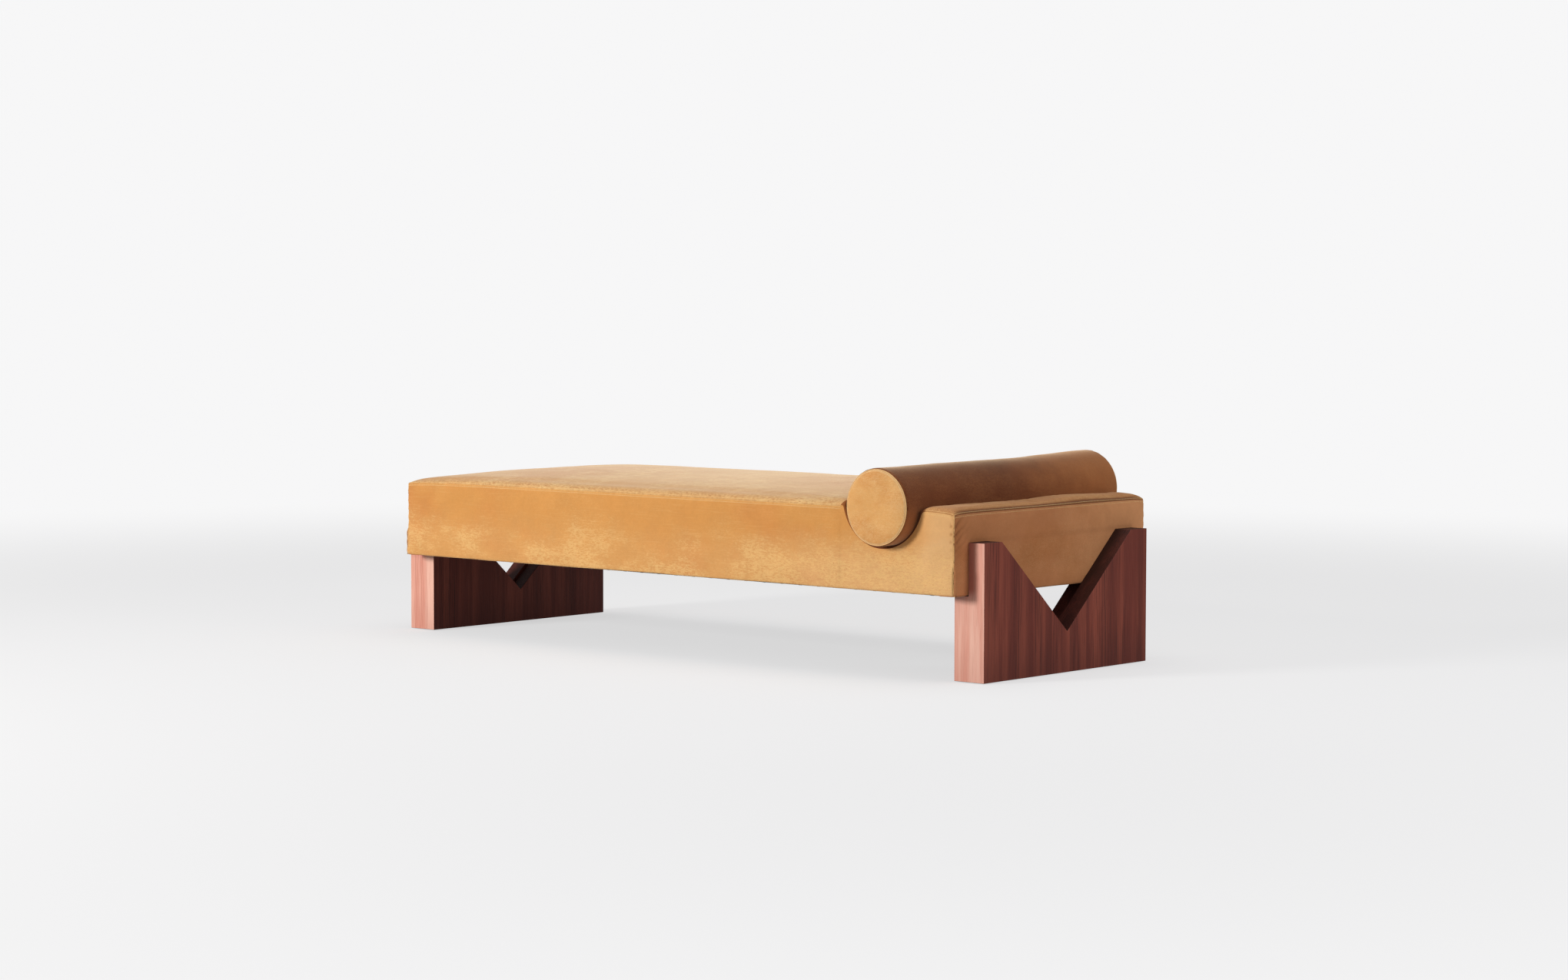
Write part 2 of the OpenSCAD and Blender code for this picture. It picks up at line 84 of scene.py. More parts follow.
ARRIS = 0.0013  # how much the boards' sharp edges are eased
SAME = 0.00002  # points nearer than this lie in one plane
# the velvet's marks: crushed pile, painted shade and painted highlights
PILE_SHADE_AND_HIGHLIGHT_MARKS = ("crush", "shade", "painted_highlight")  # what the velvet reads from its mesh


# ---------------------------------------------------------------- finishes


class Num:
    """A number that changes over a surface. Sums and products on it add Math nodes."""

    def __init__(self, finish, socket):
        self.finish, self.socket = finish, socket

    def math(self, operation, *others):
        return self.finish.add("ShaderNodeMath", {"operation": operation}, dict(enumerate((self, *others))))

    def __add__(self, other):
        return self.math("ADD", other)

    __radd__ = __add__

    def __sub__(self, other):
        return self.math("SUBTRACT", other)

    def __mul__(self, other):
        return self.math("MULTIPLY", other)

    __rmul__ = __mul__

    def __truediv__(self, other):
        return self.math("DIVIDE", other)


class Finish:
    """A material and the nodes it is made of."""

    def __init__(self, name):
        self.material = bpy.data.materials.new(name)
        self.material.use_nodes = True
        self.tree = self.material.node_tree
        self.tree.nodes.clear()

    def add(self, kind, settings=None, sockets=None, out=0):
        """One node of any kind: its settings first, then the values or links of its sockets."""
        node = self.tree.nodes.new(kind)
        for key, value in (settings or {}).items():
            setattr(node, key, value)
        for key, value in (sockets or {}).items():
            if isinstance(value, Num):
                self.tree.links.new(value.socket, node.inputs[key])
            else:
                node.inputs[key].default_value = value
        return Num(self, node.outputs[out]) if node.outputs else node

    def place(self, *stretch):
        """The place on the object, stretched along each axis."""
        at = self.add("ShaderNodeTexCoord", out="Object")
        if stretch:
            at = self.add("ShaderNodeVectorMath", {"operation": "MULTIPLY"}, {0: at, 1: stretch})
        return at

    def axes(self, at):
        split = self.add("ShaderNodeSeparateXYZ", sockets={0: at})
        node = split.socket.node
        return [Num(self, node.outputs[i]) for i in range(3)]

    def cloud(self, at, size, detail=2.0, rough=0.5, warp=0.0):
        return self.add(
            "ShaderNodeTexNoise",
            sockets={"Vector": at, "Scale": size, "Detail": detail, "Roughness": rough, "Distortion": warp},
        )

    def step(self, value, low, high, to_low=0.0, to_high=1.0):
        return self.add(
            "ShaderNodeMapRange",
            {"interpolation_type": "SMOOTHSTEP"},
            {"Value": value, "From Min": low, "From Max": high, "To Min": to_low, "To Max": to_high},
        )

    def mix(self, a, b, share, how="MIX"):
        sockets = {0: share, 6: a, 7: b}
        return self.add("ShaderNodeMix", {"data_type": "RGBA", "blend_type": how}, sockets, out=2)

    def dim(self, colour, tone):
        """The colour, lighter or darker by a tone near 1."""
        grey = self.add("ShaderNodeCombineColor", sockets={0: tone, 1: tone, 2: tone})
        return self.mix(colour, grey, 1.0, "MULTIPLY")

    def mark(self, name):
        """A number kept on the mesh itself."""
        return self.add("ShaderNodeAttribute", {"attribute_name": name}, out="Fac")

    def bump(self, height, distance, strength=1.0):
        return self.add(
            "ShaderNodeBump", sockets={"Height": height, "Distance": distance, "Strength": strength}
        )

    def surface(self, **sockets):
        """Closes the material with one shader; its constants are set on the shader's own sockets."""
        named = {key.replace("_", " "): value for key, value in sockets.items()}
        shader = self.add("ShaderNodeBsdfPrincipled", sockets=named)
        self.add("ShaderNodeOutputMaterial", sockets={"Surface": shader})
        return self.material


def dye(red, green, blue):
    """A colour as it looks, 0 to 255, in the numbers the shader wants."""
    shares = [c / 255 for c in (red, green, blue)]
    return tuple(((s + 0.055) / 1.055) ** 2.4 if s > 0.04 else s / 12.92 for s in shares) + (1.0,)


def velvet(name, ground, warm, light, fleck_share=0.6, pale=None, sheen=0.45, lean=(95, 95, 330), patch=1.7,
           deep=None, far=None, painted_light_low=0.0, shine=dye(255, 226, 190)):
    """Cotton velvet: warm patches where the pile lies one way, light crushed flecks where it is rubbed."""
    f = Finish(name)
    at = f.place()
    patches = f.step(f.cloud(f.place(1, 1, 1.8), patch, 3, 0.55, 0.3), 0.42, 0.64)
    mottle = f.cloud(at, 17, 5, 0.6)
    fine = f.cloud(at, 120, 4, 0.7)
    streaks = f.cloud(f.place(*lean), 1.0, 4, 0.7, 0.3)
    threads = f.cloud(f.place(lean[0] * 4, lean[1] * 4, lean[2] * 4), 1.0, 2, 0.6)
    rubbed = f.step(f.cloud(f.place(1, 1, 1.7), 4.6, 5, 0.68), 0.36, 0.66)
    colour = f.mix(ground, warm, patches)
    x, y, z = f.axes(at)
    # painted light: lighter towards the back end, and for the bolster also on its lower side
    if far is not None:
        painted_light_back = f.step(y + (mottle - 0.5) * 0.2, -0.05, 0.40)
        colour = f.mix(colour, far, (painted_light_back + f.step(z, 0.36, 0.44, 1, 0) * painted_light_low).math("MINIMUM", 1.0))
    if pale is not None:
        low_down = f.step(z + (mottle - 0.5) * 0.10, 0.25, 0.37, 1, 0)
        to_head = f.step(x + (mottle - 0.5) * 0.3, 0.05, 0.86)
        right_end = f.step(x, 0.80, 0.90)
        wash = (low_down * (to_head * 0.6 + 0.15) + right_end * 0.7).math("MINIMUM", 0.85)
        colour = f.mix(colour, pale, wash)
        rubbed = (rubbed * (low_down * 0.8 + 0.25) + low_down * (to_head * 0.2 + 0.2)).math("MINIMUM", 1.0)
    crush = f.mark("crush")
    flecks = f.step(streaks + (rubbed - 0.5) * 0.14, 0.50, 0.60)
    pits = f.step(streaks * 0.4 + threads * 0.6, 0.38, 0.46, 1, 0)
    edge_flecks = f.step(fine * 0.4 + threads * 0.6, 0.44, 0.60)
    colour = f.mix(colour, light, rubbed * fleck_share * 0.3)
    colour = f.mix(colour, light, flecks * rubbed * fleck_share)
    colour = f.mix(colour, warm, pits * rubbed * fleck_share)
    colour = f.mix(colour, light, f.step(threads, 0.5, 0.66) * (rubbed * 0.35 + 0.12))
    scratches = f.step(f.cloud(f.place(14, 14, 420), 1.0, 3, 0.6), 0.56, 0.66)
    colour = f.mix(colour, light, scratches * fleck_share * (rubbed * 0.5 + 0.15))
    colour = f.mix(colour, light, edge_flecks * crush * 0.6)
    colour = f.mix(colour, deep or warm, f.step(threads, 0.34, 0.46, 1, 0) * crush * 0.25)
    # painted highlight: pale lines along the seams, the stitch rows, the corner beads and the caps' rims
    colour = f.mix(colour, light, f.mark("painted_highlight") * (fine * 0.6 + 0.5))
    colour = f.mix(colour, deep or warm, f.mark("shade"))
    tone = mottle * 0.22 + fine * 0.14 + 0.81
    colour = f.dim(colour, tone)
    pile = f.cloud(at, 1300, 2, 0.6)
    relief = pile * 0.3 + streaks * rubbed * 0.7 + threads * 0.3 + edge_flecks * crush * 0.3
    return f.surface(
        Base_Color=colour,
        Roughness=0.92,
        Specular_IOR_Level=0.12,
        Sheen_Weight=sheen,
        Sheen_Roughness=0.42,
        Sheen_Tint=shine,
        Normal=f.bump(relief, 0.0011, 0.5),
    )


def stained(name, light, ground, dark, gloss=0.42, across="Y", stave=0.072, grain=1.0):
    """Pine stained red-brown: upright grain, glued from staves that took the stain differently."""
    f = Finish(name)
    at = f.place()
    x, y, z = f.axes(at)
    over = y if across == "Y" else x
    which = ((over + 1.0) / stave).math("FLOOR")
    tone = f.add("ShaderNodeTexWhiteNoise", {"noise_dimensions": "1D"}, {"W": which})
    shifted = f.add("ShaderNodeCombineXYZ", sockets={0: x + tone * 3.1, 1: y + tone * 1.7, 2: z + tone * 5.3})

    def along(*stretch):
        return f.add("ShaderNodeVectorMath", {"operation": "MULTIPLY"}, {0: shifted, 1: stretch})

    rings = f.cloud(along(46, 46, 1.9), 2.6, 5, 0.62, 0.5)
    figure = f.cloud(along(13, 13, 0.8), 1.8, 4, 0.55)
    wander = f.cloud(along(7, 7, 1.6), 1.6, 3, 0.55)
    lines = f.step(((over + wander * 0.030) * (2 * math.pi / LINE_PITCH)).math("SINE"), 0.15, 0.95)
    groups = f.step(f.cloud(along(16, 16, 0.7), 1.0, 2), 0.46, 0.56)
    pores = f.cloud(along(420, 420, 16), 1.0, 3)
    colour = f.mix(ground, light, f.step(figure, 0.40, 0.62) * 0.85)
    colour = f.mix(colour, dark, f.step(rings, 0.5, 0.75) * 0.32 * grain)
    colour = f.mix(colour, dark, lines * groups * f.step(rings, 0.35, 0.6) * 0.9 * grain)
    colour = f.mix(colour, dark, f.step(pores, 0.5, 0.7) * 0.22)
    colour = f.mix(colour, dark, f.step(z + (figure - 0.5) * 0.1, 0.0, 0.13, 1, 0) * 0.35 * grain)
    if across == "X":
        # painted shadow of the seat: darker above the seat's lower edge, fading out towards the head leg's
        # outer face
        painted_seat_shadow = f.step(z, HEM - 0.02, HEM + 0.02) * f.step(x, 0.962, 0.986, 1, 0)
        colour = f.mix(colour, dark, painted_seat_shadow * 0.8)
    colour = f.dim(colour, tone * 0.18 + 0.90)
    relief = pores * 0.5 + rings * 0.5
    return f.surface(
        Base_Color=colour,
        Roughness=f.step(pores, 0.3, 0.7, gloss, gloss + 0.14),
        Specular_IOR_Level=0.25,
        Normal=f.bump(relief, 0.0006, 0.5),
    )


def plain_stuff(name, ground, other, size, rough=0.8, depth=0.0005, metal=0.0, stretch=(1, 1, 1), sheen=0.0):
    """Foam, fleece, felt, softwood and metal: two tones and a relief, at the stuff's own scale."""
    f = Finish(name)
    at = f.place(*stretch)
    grain = f.cloud(at, size, 4, 0.6)
    broad = f.cloud(at, size / 12, 2)
    colour = f.mix(ground, other, f.step(grain * 0.6 + broad * 0.4, 0.38, 0.62))
    return f.surface(
        Base_Color=colour,
        Roughness=f.step(grain, 0.3, 0.7, rough - 0.08, rough + 0.08),
        Metallic=metal,
        Sheen_Weight=sheen,
        Normal=f.bump(grain, depth, 0.6),
    )


LINE_PITCH = 0.0066  # the dark late-wood lines stand about this far apart
GOLD, ORANGE, STRAW = dye(212, 148, 80), dye(204, 130, 70), dye(236, 190, 124)
UMBER = dye(104, 58, 36)
BAND_VELVET = velvet("velvet_bands", GOLD, ORANGE, STRAW, 0.62, pale=dye(228, 182, 128),
                     deep=dye(160, 102, 54))
TOP_VELVET = velvet("velvet_top", dye(206, 150, 92), dye(196, 128, 70), dye(232, 192, 132), 0.6,
                    sheen=0.55, lean=(34, 120, 60), deep=UMBER, shine=dye(255, 238, 212))
# painted light: the end panels and the bolster's tube are lightened towards the back end, the tube also along
# its lower side
END_VELVET = velvet("velvet_ends", dye(192, 126, 82), dye(180, 114, 68), dye(206, 152, 104), 0.15, patch=3.2,
                    deep=UMBER, sheen=0.3, far=dye(214, 150, 102))
TUBE_VELVET = velvet("velvet_bolster", dye(112, 56, 28), dye(100, 48, 24), dye(168, 110, 64), 0.12, patch=2.6,
                     deep=dye(70, 36, 20), sheen=0.62, far=dye(164, 100, 56), painted_light_low=0.9)
CAP_VELVET = velvet("velvet_caps", dye(222, 164, 98), dye(212, 146, 80), dye(244, 206, 150), 0.2, patch=7,
                    deep=dye(150, 96, 54))
STRIP_VELVET = velvet("velvet_strip", dye(186, 124, 74), dye(172, 108, 62), dye(232, 186, 124), 0.25,
                      deep=UMBER, sheen=0.25)
# painted shade: the groove's lining under the bolster gets a darker copy of the top's velvet, with little
# sheen
LINING_VELVET_PAINTED_SHADE = velvet("velvet_lining_painted_shade", dye(150, 88, 46), dye(136, 74, 38), dye(176, 118, 70), 0.2,
                       deep=UMBER, sheen=0.08)
# painted highlight: the welts and the corner seams' beads get a lighter copy of the velvet, for the light
# that they catch
WELT_VELVET_PAINTED_HIGHLIGHT = velvet("velvet_welts_painted_highlight", dye(238, 192, 132), dye(228, 176, 112), dye(246, 210, 154), 0.2,
                     sheen=0.2)
THREAD = plain_stuff("thread", dye(250, 214, 150), dye(240, 196, 128), 900, 0.7, 0.0002, sheen=0.3)
BOARD_WOOD = stained("stained_wood_faces", dye(152, 76, 58), dye(120, 54, 42), dye(66, 27, 22))
EDGE_WOOD = stained("stained_wood_edges", dye(242, 192, 172), dye(226, 158, 138), dye(168, 92, 76),
                    0.5, "X", 0.2, 0.65)
CUT_WOOD = stained("stained_wood_cuts", dye(94, 44, 35), dye(70, 31, 25), dye(42, 17, 14),
                   0.5, "X", 0.048, 0.7)
SOFTWOOD = plain_stuff("softwood", dye(214, 180, 130), dye(190, 150, 98), 30, 0.7, 0.0004,
                       stretch=(0.3, 2, 2))
FOAM = plain_stuff("foam", dye(236, 226, 196), dye(222, 210, 176), 420, 0.9, 0.0008)
FLEECE = plain_stuff("fleece", dye(240, 238, 232), dye(226, 224, 218), 160, 0.95, 0.0012, sheen=0.3)
STEEL = plain_stuff("steel", dye(176, 178, 182), dye(150, 152, 156), 260, 0.34, 0.0001, metal=1.0)
FELT = plain_stuff("felt", dye(96, 84, 78), dye(74, 64, 60), 700, 0.95, 0.0006, sheen=0.4)
DUST_CLOTH = plain_stuff("dust_cloth", dye(46, 44, 44), dye(34, 33, 33), 1200, 0.9, 0.0003)
ZIP_TAPE = plain_stuff("zip_tape", dye(178, 124, 66), dye(158, 106, 54), 1500, 0.85, 0.0003)
BRASS = plain_stuff("zip_metal", dye(196, 160, 92), dye(168, 132, 70), 500, 0.3, 0.0001, metal=1.0)

CARRIED = {  # the finish of each hidden piece, by the last word of its name
    "glides": FELT, "core": FOAM, "foam": FOAM, "padding": FLEECE, "wadding": FLEECE,
    "dowels": SOFTWOOD, "rail": SOFTWOOD, "rails": SOFTWOOD, "blocks": SOFTWOOD, "slats": SOFTWOOD,
    "front": SOFTWOOD, "back": SOFTWOOD, "head": SOFTWOOD, "foot": SOFTWOOD,
    "inserts": STEEL, "bolts": STEEL, "washers": STEEL, "screws": STEEL, "staples": STEEL,
    "tape": ZIP_TAPE, "chain": BRASS, "slider": BRASS,
}
for node_name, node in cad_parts.items():
    finish = CARRIED.get(node_name.split("_")[-1])
    if finish is not None:
        node.data.materials.clear()
        node.data.materials.append(finish)


# ---------------------------------------------------------------- making meshes


def put(name, data):
    """A new object in the scene that shows these data."""
    made = bpy.data.objects.new(name, data)
    bpy.context.scene.collection.objects.link(made)
    return made


def piece(name, points, faces, finish, body, smooth=True, marks=None):
    """A mesh object that rides on a body, with its finish and any numbers kept on its points."""
    mesh = bpy.data.meshes.new(name)
    mesh.from_pydata([tuple(p) for p in points], [], [tuple(int(i) for i in f) for f in faces])
    mesh.update()
    for key, values in (marks or {}).items():
        mesh.attributes.new(key, "FLOAT", "POINT").data.foreach_set("value", np.asarray(values, np.float32))
    mesh.polygons.foreach_set("use_smooth", [smooth] * len(mesh.polygons))
    for f in finish if isinstance(finish, (list, tuple)) else [finish]:
        mesh.materials.append(f)
    made = put(name, mesh)
    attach(made, body)
    return made


def lattice(rows, columns, start=0, close=False):
    """The faces of a rows by columns lattice of points; close joins the last column to the first."""
    faces = []
    for r in range(rows - 1):
        for c in range(columns if close else columns - 1):
            d = (c + 1) % columns
            faces.append((start + r * columns + c, start + r * columns + d,
                          start + (r + 1) * columns + d, start + (r + 1) * columns + c))
    return faces


def ripple(points, size, seed):
    """Soft noise, about -1 to 1, over the points; size is the wave's length in metres."""
    shift = Vector((seed * 7.31, seed * 3.77, seed * 1.93))
    return np.array([noise.noise(Vector(p) / size + shift) for p in points])


class Skin:
    """Several lattices of points that share their seams, as one welded net."""

    def __init__(self):
        self.points, self.faces, self.marks, self.count = [], {}, [], 0

    def add(self, name, lattice_points, faces_flip=False, close=False, **marks):
        rows, columns, _ = lattice_points.shape
        faces = lattice(rows, columns, self.count, close)
        if faces_flip:
            faces = [f[::-1] for f in faces]
        self.points.append(lattice_points.reshape(-1, 3))
        self.marks.append({k: np.broadcast_to(v, (rows, columns)).reshape(-1) for k, v in marks.items()})
        self.faces[name] = faces
        self.count += rows * columns

    def weld(self):
        raw = np.concatenate(self.points)
        keys = np.round(raw / (0.02 * MM)).astype(np.int64)
        _, first, back = np.unique(keys, axis=0, return_index=True, return_inverse=True)
        back = back.reshape(-1)
        self.net = raw[first]
        names = sorted({k for m in self.marks for k in m})
        self.mark = {}
        for k in names:
            low = np.full(len(first), np.inf)
            blocks = [m.get(k, np.full(len(p), np.inf)) for m, p in zip(self.marks, self.points)]
            np.minimum.at(low, back, np.concatenate(blocks))
            self.mark[k] = low
        self.where = back
        self.panels = {}
        for name, faces in self.faces.items():
            kept = []
            for f in faces:
                g = []
                for i in (back[j] for j in f):
                    if i not in g:
                        g.append(int(i))
                if len(g) > 2:
                    kept.append(g)
            self.panels[name] = kept
        return self

    def all_faces(self):
        return [f for group in self.panels.values() for f in group]

    def normals(self):
        total = np.zeros_like(self.net)
        for faces in self.panels.values():
            for size in (3, 4):
                group = np.array([f for f in faces if len(f) == size])
                if not len(group):
                    continue
                corner = self.net[group]
                across = np.cross(corner[:, 2] - corner[:, 0], corner[:, -1] - corner[:, 1])
                for i in range(size):
                    np.add.at(total, group[:, i], across)
        return total / np.maximum(np.linalg.norm(total, axis=1, keepdims=True), 1e-12)

    def cut(self, name, finish, body, slot, marks=(), second=None):
        """One panel as a piece of its own; second is (mark, level, finish) for the faces past that level."""
        faces = self.panels[name]
        used = np.unique(np.concatenate([np.array(f) for f in faces]))
        place = {int(u): n for n, u in enumerate(used)}
        made = piece(
            name, self.net[used], [[place[i] for i in f] for f in faces], finish, body,
            marks={k: self.mark[k][used] for k in marks},
        )
        if second:
            key, level, other = second
            made.data.materials.append(other)
            past = [int(np.mean([self.mark[key][i] for i in f]) > level) for f in faces]
            made.data.polygons.foreach_set("material_index", past)
        return made


def billow(skin, held, cap, pressure, frames=20, shrink=0.0, stiff=18.0):
    """Blows the net up as cloth for a few frames and returns how far each point moved, at most cap."""
    mesh = bpy.data.meshes.new("billow")
    mesh.from_pydata([tuple(p) for p in skin.net], [], skin.all_faces())
    mesh.update()
    net = bpy.data.objects.new("billow", mesh)
    scene = bpy.context.scene
    scene.collection.objects.link(net)
    pins = net.vertex_groups.new(name="held")
    for i, weight in enumerate(held):
        if weight > 0.01:
            pins.add([i], float(min(weight, 1)), "REPLACE")
    cloth = net.modifiers.new("cloth", "CLOTH")
    s = cloth.settings
    s.quality = 5
    s.mass = 0.4
    s.tension_stiffness = s.compression_stiffness = stiff
    s.shear_stiffness = stiff / 3
    s.bending_stiffness = 0.6
    s.use_pressure = True
    s.uniform_pressure_force = pressure
    s.shrink_min = shrink
    s.vertex_group_mass = "held"
    s.effector_weights.gravity = 0
    cloth.collision_settings.use_collision = False
    cloth.point_cache.frame_start, cloth.point_cache.frame_end = 1, frames
    for now in range(1, frames + 1):
        scene.frame_set(now)
    blown = net.evaluated_get(bpy.context.evaluated_depsgraph_get())
    moved = np.array([v.co[:] for v in blown.data.vertices]) - skin.net
    bpy.data.objects.remove(net)
    scene.frame_set(1)
    length = np.linalg.norm(moved, axis=1, keepdims=True)
    return moved * (cap * np.tanh(length / cap) / np.maximum(length, 1e-9))


def carry(from_net, moved, to_points):
    """Takes the coarse net's movement over to finer points."""
    tree = KDTree(len(from_net))
    for i, p in enumerate(from_net):
        tree.insert(p, i)
    tree.balance()
    out = np.zeros_like(to_points)
    for i, p in enumerate(to_points):
        near = tree.find_n(p, 4)
        weights = [1 / (d + 0.0015) ** 2 for _, _, d in near]
        out[i] = sum(w * moved[j] for w, (_, j, _) in zip(weights, near)) / sum(weights)
    return out


# ---------------------------------------------------------------- the seat's cover

ROLL_TURN = np.linspace(0, math.pi / 2, 200)
ROLL_ARC = np.concatenate([[0], np.cumsum(np.hypot(
    np.diff(ROLL_RUN * (1 - np.cos(ROLL_TURN))), np.diff(ROLL_RISE * np.sin(ROLL_TURN))))])


def bell(value, width):
    """1 at nought, falling away on both sides over the width."""
    return np.exp(-(value / width) ** 2)


def ease(value, low, high):
    """Goes smoothly from 0 at low to 1 at high."""
    t = np.clip((value - low) / (high - low), 0, 1)
    return t * t * (3 - 2 * t)


def settle(x, y):
    """How much lower than its full crown the seat lies, at the foot end and over the strip at the head."""
    foot = 0.0125 * np.exp(-(x + END) / 0.12) * (1 - 0.85 * ease(y, 0.0, 0.36))
    strip = (0.0048 - 0.0045 * ease(y, -0.05, 0.16) + 0.0044 * ease(y, 0.12, 0.32)) * ease(x, 0.62, 0.84)
    return foot + strip


def face_z(x, y):
    """The seat's top face inside its edge roll."""
    rise = (CROWN - SEAM - ROLL_RISE) * (1 - ease(x, 0.70, 0.84))
    return SEAM + ROLL_RISE + rise * (1 - np.abs(x / END) ** 6) * (1 - np.abs(y / SIDE) ** 2.2) - settle(x, y)


def seam_droop(x, y):
    """How far the seam lies under its usual height: it sinks towards the corners and along the ends."""
    from_foot, from_head = x + END, END - x
    along_side = 0.0072 * np.exp(-from_foot / 0.11) + 0.0070 * np.exp(-from_head / 0.028)
    from_corner = SIDE - np.abs(y)
    along_end = 0.0030 + 0.0042 * np.exp(-from_corner / 0.03)
    near_side = np.exp(-from_corner / 0.045)
    near_end = np.exp(-np.minimum(from_foot, from_head) / 0.045)
    return np.maximum(along_side * near_side, along_end * near_end)


def lip(centre, radius, angles, shares):
    """Points round one lip of the groove, each with its outward direction and its share of the groove."""
    points = []
    for angle, share in zip(angles, shares):
        nx, nz = math.cos(angle), math.sin(angle)
        points.append((centre[0] + radius * nx, centre[1] + radius * nz, nx, nz, share, math.pi / 2))
    return points


def seat_skin(arcs, across, foot_span, lip_steps, groove_steps, head_span, depths, returns):
    """The whole cover at one fineness: top, front, back, head and foot lattices, welded at the seams."""
    arcs = np.array(arcs)
    turns = np.interp(arcs * ROLL_ARC[-1], ROLL_ARC, ROLL_TURN)
    inner = np.linspace(-1, 1, across)[1:-1] * (SIDE - ROLL_RUN)
    rows = [(-1, t, None) for t in turns]
    rows += [(0, math.pi / 2, y) for y in inner]
    rows += [(1, t, None) for t in turns[::-1]]
    rising = [k / (lip_steps - 1) for k in range(lip_steps)]
    falling = [1 - share for share in rising]
    roll_x = ROLL_RUN * (1 - np.cos(turns))
    points, groove_share, seam_arc = [], [], []
    for side, turn, y_inner in rows:
        y = y_inner if side == 0 else side * (SIDE - ROLL_RUN * (1 - math.cos(turn)))
        foot_h, head_h = face_z(GROOVE_X - 0.14, y), face_z(GROOVE_X + 0.145, y)
        foot_dx = math.sqrt((GROOVE_R + FOOT_LIP) ** 2 - (foot_h - FOOT_LIP - GROOVE_Z) ** 2)
        head_dx = math.sqrt((GROOVE_R + HEAD_LIP) ** 2 - (head_h - HEAD_LIP - GROOVE_Z) ** 2)
        foot_c = (GROOVE_X - foot_dx, foot_h - FOOT_LIP)
        head_c = (GROOVE_X + head_dx, head_h - HEAD_LIP)
        foot_b = math.atan2(GROOVE_Z - foot_c[1], foot_dx)
        head_b = math.atan2(GROOVE_Z - head_c[1], head_dx)
        run = np.linspace(-END + ROLL_RUN, foot_c[0], foot_span)[:-1]
        xs = [(-END + r, t) for r, t in zip(roll_x, turns)] + [(x, math.pi / 2) for x in run[1:]]
        line = [(x, float(face_z(x, y)), 0.0, 1.0, 0.0, t) for x, t in xs]
        line += lip(foot_c, FOOT_LIP, np.linspace(math.pi / 2, foot_b, lip_steps), rising)
        for a in np.linspace(math.pi + foot_b, 2 * math.pi - head_b, groove_steps)[1:-1]:
            n = (-math.cos(a), -math.sin(a))
            line.append((GROOVE_X - GROOVE_R * n[0], GROOVE_Z - GROOVE_R * n[1], *n, 1.0, math.pi / 2))
        line += lip(head_c, HEAD_LIP, np.linspace(math.pi - head_b, math.pi / 2, lip_steps), falling)
        run = np.linspace(head_c[0], END - ROLL_RUN, head_span)[1:]
        xs = [(x, math.pi / 2) for x in run[:-1]] + [(END - r, t) for r, t in zip(roll_x[::-1], turns[::-1])]
        line += [(x, float(face_z(x, y)), 0.0, 1.0, 0.0, t) for x, t in xs]
        line = np.array(line)
        x, z, nx, nz, share, turn_x = line.T
        share = share * share * (3 - 2 * share)
        edge_run = ROLL_RUN + (FOLD - ROLL_RUN) * share
        rise_here = ROLL_RISE - settle(x, y)
        edge_rise = rise_here + (FOLD - rise_here) * share
        if side:
            y_line = side * (SIDE - edge_run * (1 - math.cos(turn)))
        else:
            y_line = np.full_like(x, y)
        drop = edge_rise * (1 - math.sin(turn))
        px = x - nx * drop
        pz = z - nz * drop - rise_here * (1 - np.sin(turn_x)) * math.sin(turn)
        pz = pz - seam_droop(px, y_line) * (1 - share)
        ridden = BACK_LIFT * 0.8 * ease(y_line, *LIFT_RUN)
        pz = pz + ridden * share * (1 - ease(np.abs(px - GROOVE_X), 0.07, 0.125))
        points.append(np.stack([px, y_line, pz], 1))
        groove_share.append(share)
        arc_y = np.interp(turn, ROLL_TURN, ROLL_ARC) if side else 1.0
        arc_x = np.where(turn_x < math.pi / 2 - 1e-6, np.interp(turn_x, ROLL_TURN, ROLL_ARC), 1.0)
        seam_arc.append(np.minimum(arc_x, arc_y))
    top = np.array(points)
    share = np.array(groove_share)
    seam_arc = np.array(seam_arc)
    skin = Skin()
    skin.add("seat_top", top, arc=seam_arc, share=share, corner=1.0, drop=0.0)

    def wall(name, edge, edge_share, inward, flip):
        """A side of the cover hung from one edge of the top, down to the hem and under it."""
        depth = np.array(depths)
        fall = edge[:, 2] - (HEM + HEM_TURN)
        near = depth[depth < 0.02]
        far = np.linspace(0, 1, len(depth) - len(near) + 1)[1:]
        lattice_rows, falls = [], []
        for d in near:
            lattice_rows.append(edge - np.array([0, 0, 1]) * d)
            falls.append(np.full(len(edge), d))
        for t in far:
            d = near[-1] + (fall - near[-1]) * t
            p = edge.copy()
            p[:, 2] -= d
            lattice_rows.append(p)
            falls.append(d)
        for a in (0.5, 1.0):
            turn = a * math.pi / 2
            p = edge.copy() + inward * HEM_TURN * (1 - math.cos(turn))
            p[:, 2] = HEM + HEM_TURN * (1 - math.sin(turn))
            lattice_rows.append(p)
            falls.append(fall + HEM_TURN * turn)
        for r in returns:
            p = edge.copy() + inward * r
            p[:, 2] = HEM
            lattice_rows.append(p)
            falls.append(fall + HEM_TURN + r)
        grid = np.array(lattice_rows)
        from_end = END - np.abs(grid[..., 0])
        from_side = SIDE - np.abs(grid[..., 1])
        corner = np.maximum(from_end, from_side)
        skin.add(name, grid, flip, arc=np.array(falls), share=np.broadcast_to(edge_share, grid.shape[:2]),
                 corner=corner, drop=np.array(falls))

    wall("seat_front_band", top[0], share[0], np.array([0, 1, 0]), True)
    wall("seat_back_band", top[-1], share[-1], np.array([0, -1, 0]), False)
    wall("seat_foot_panel", top[:, 0], share[:, 0], np.array([1, 0, 0]), False)
    wall("seat_head_panel", top[:, -1], share[:, -1], np.array([-1, 0, 0]), True)
    return skin, top.shape[:2]


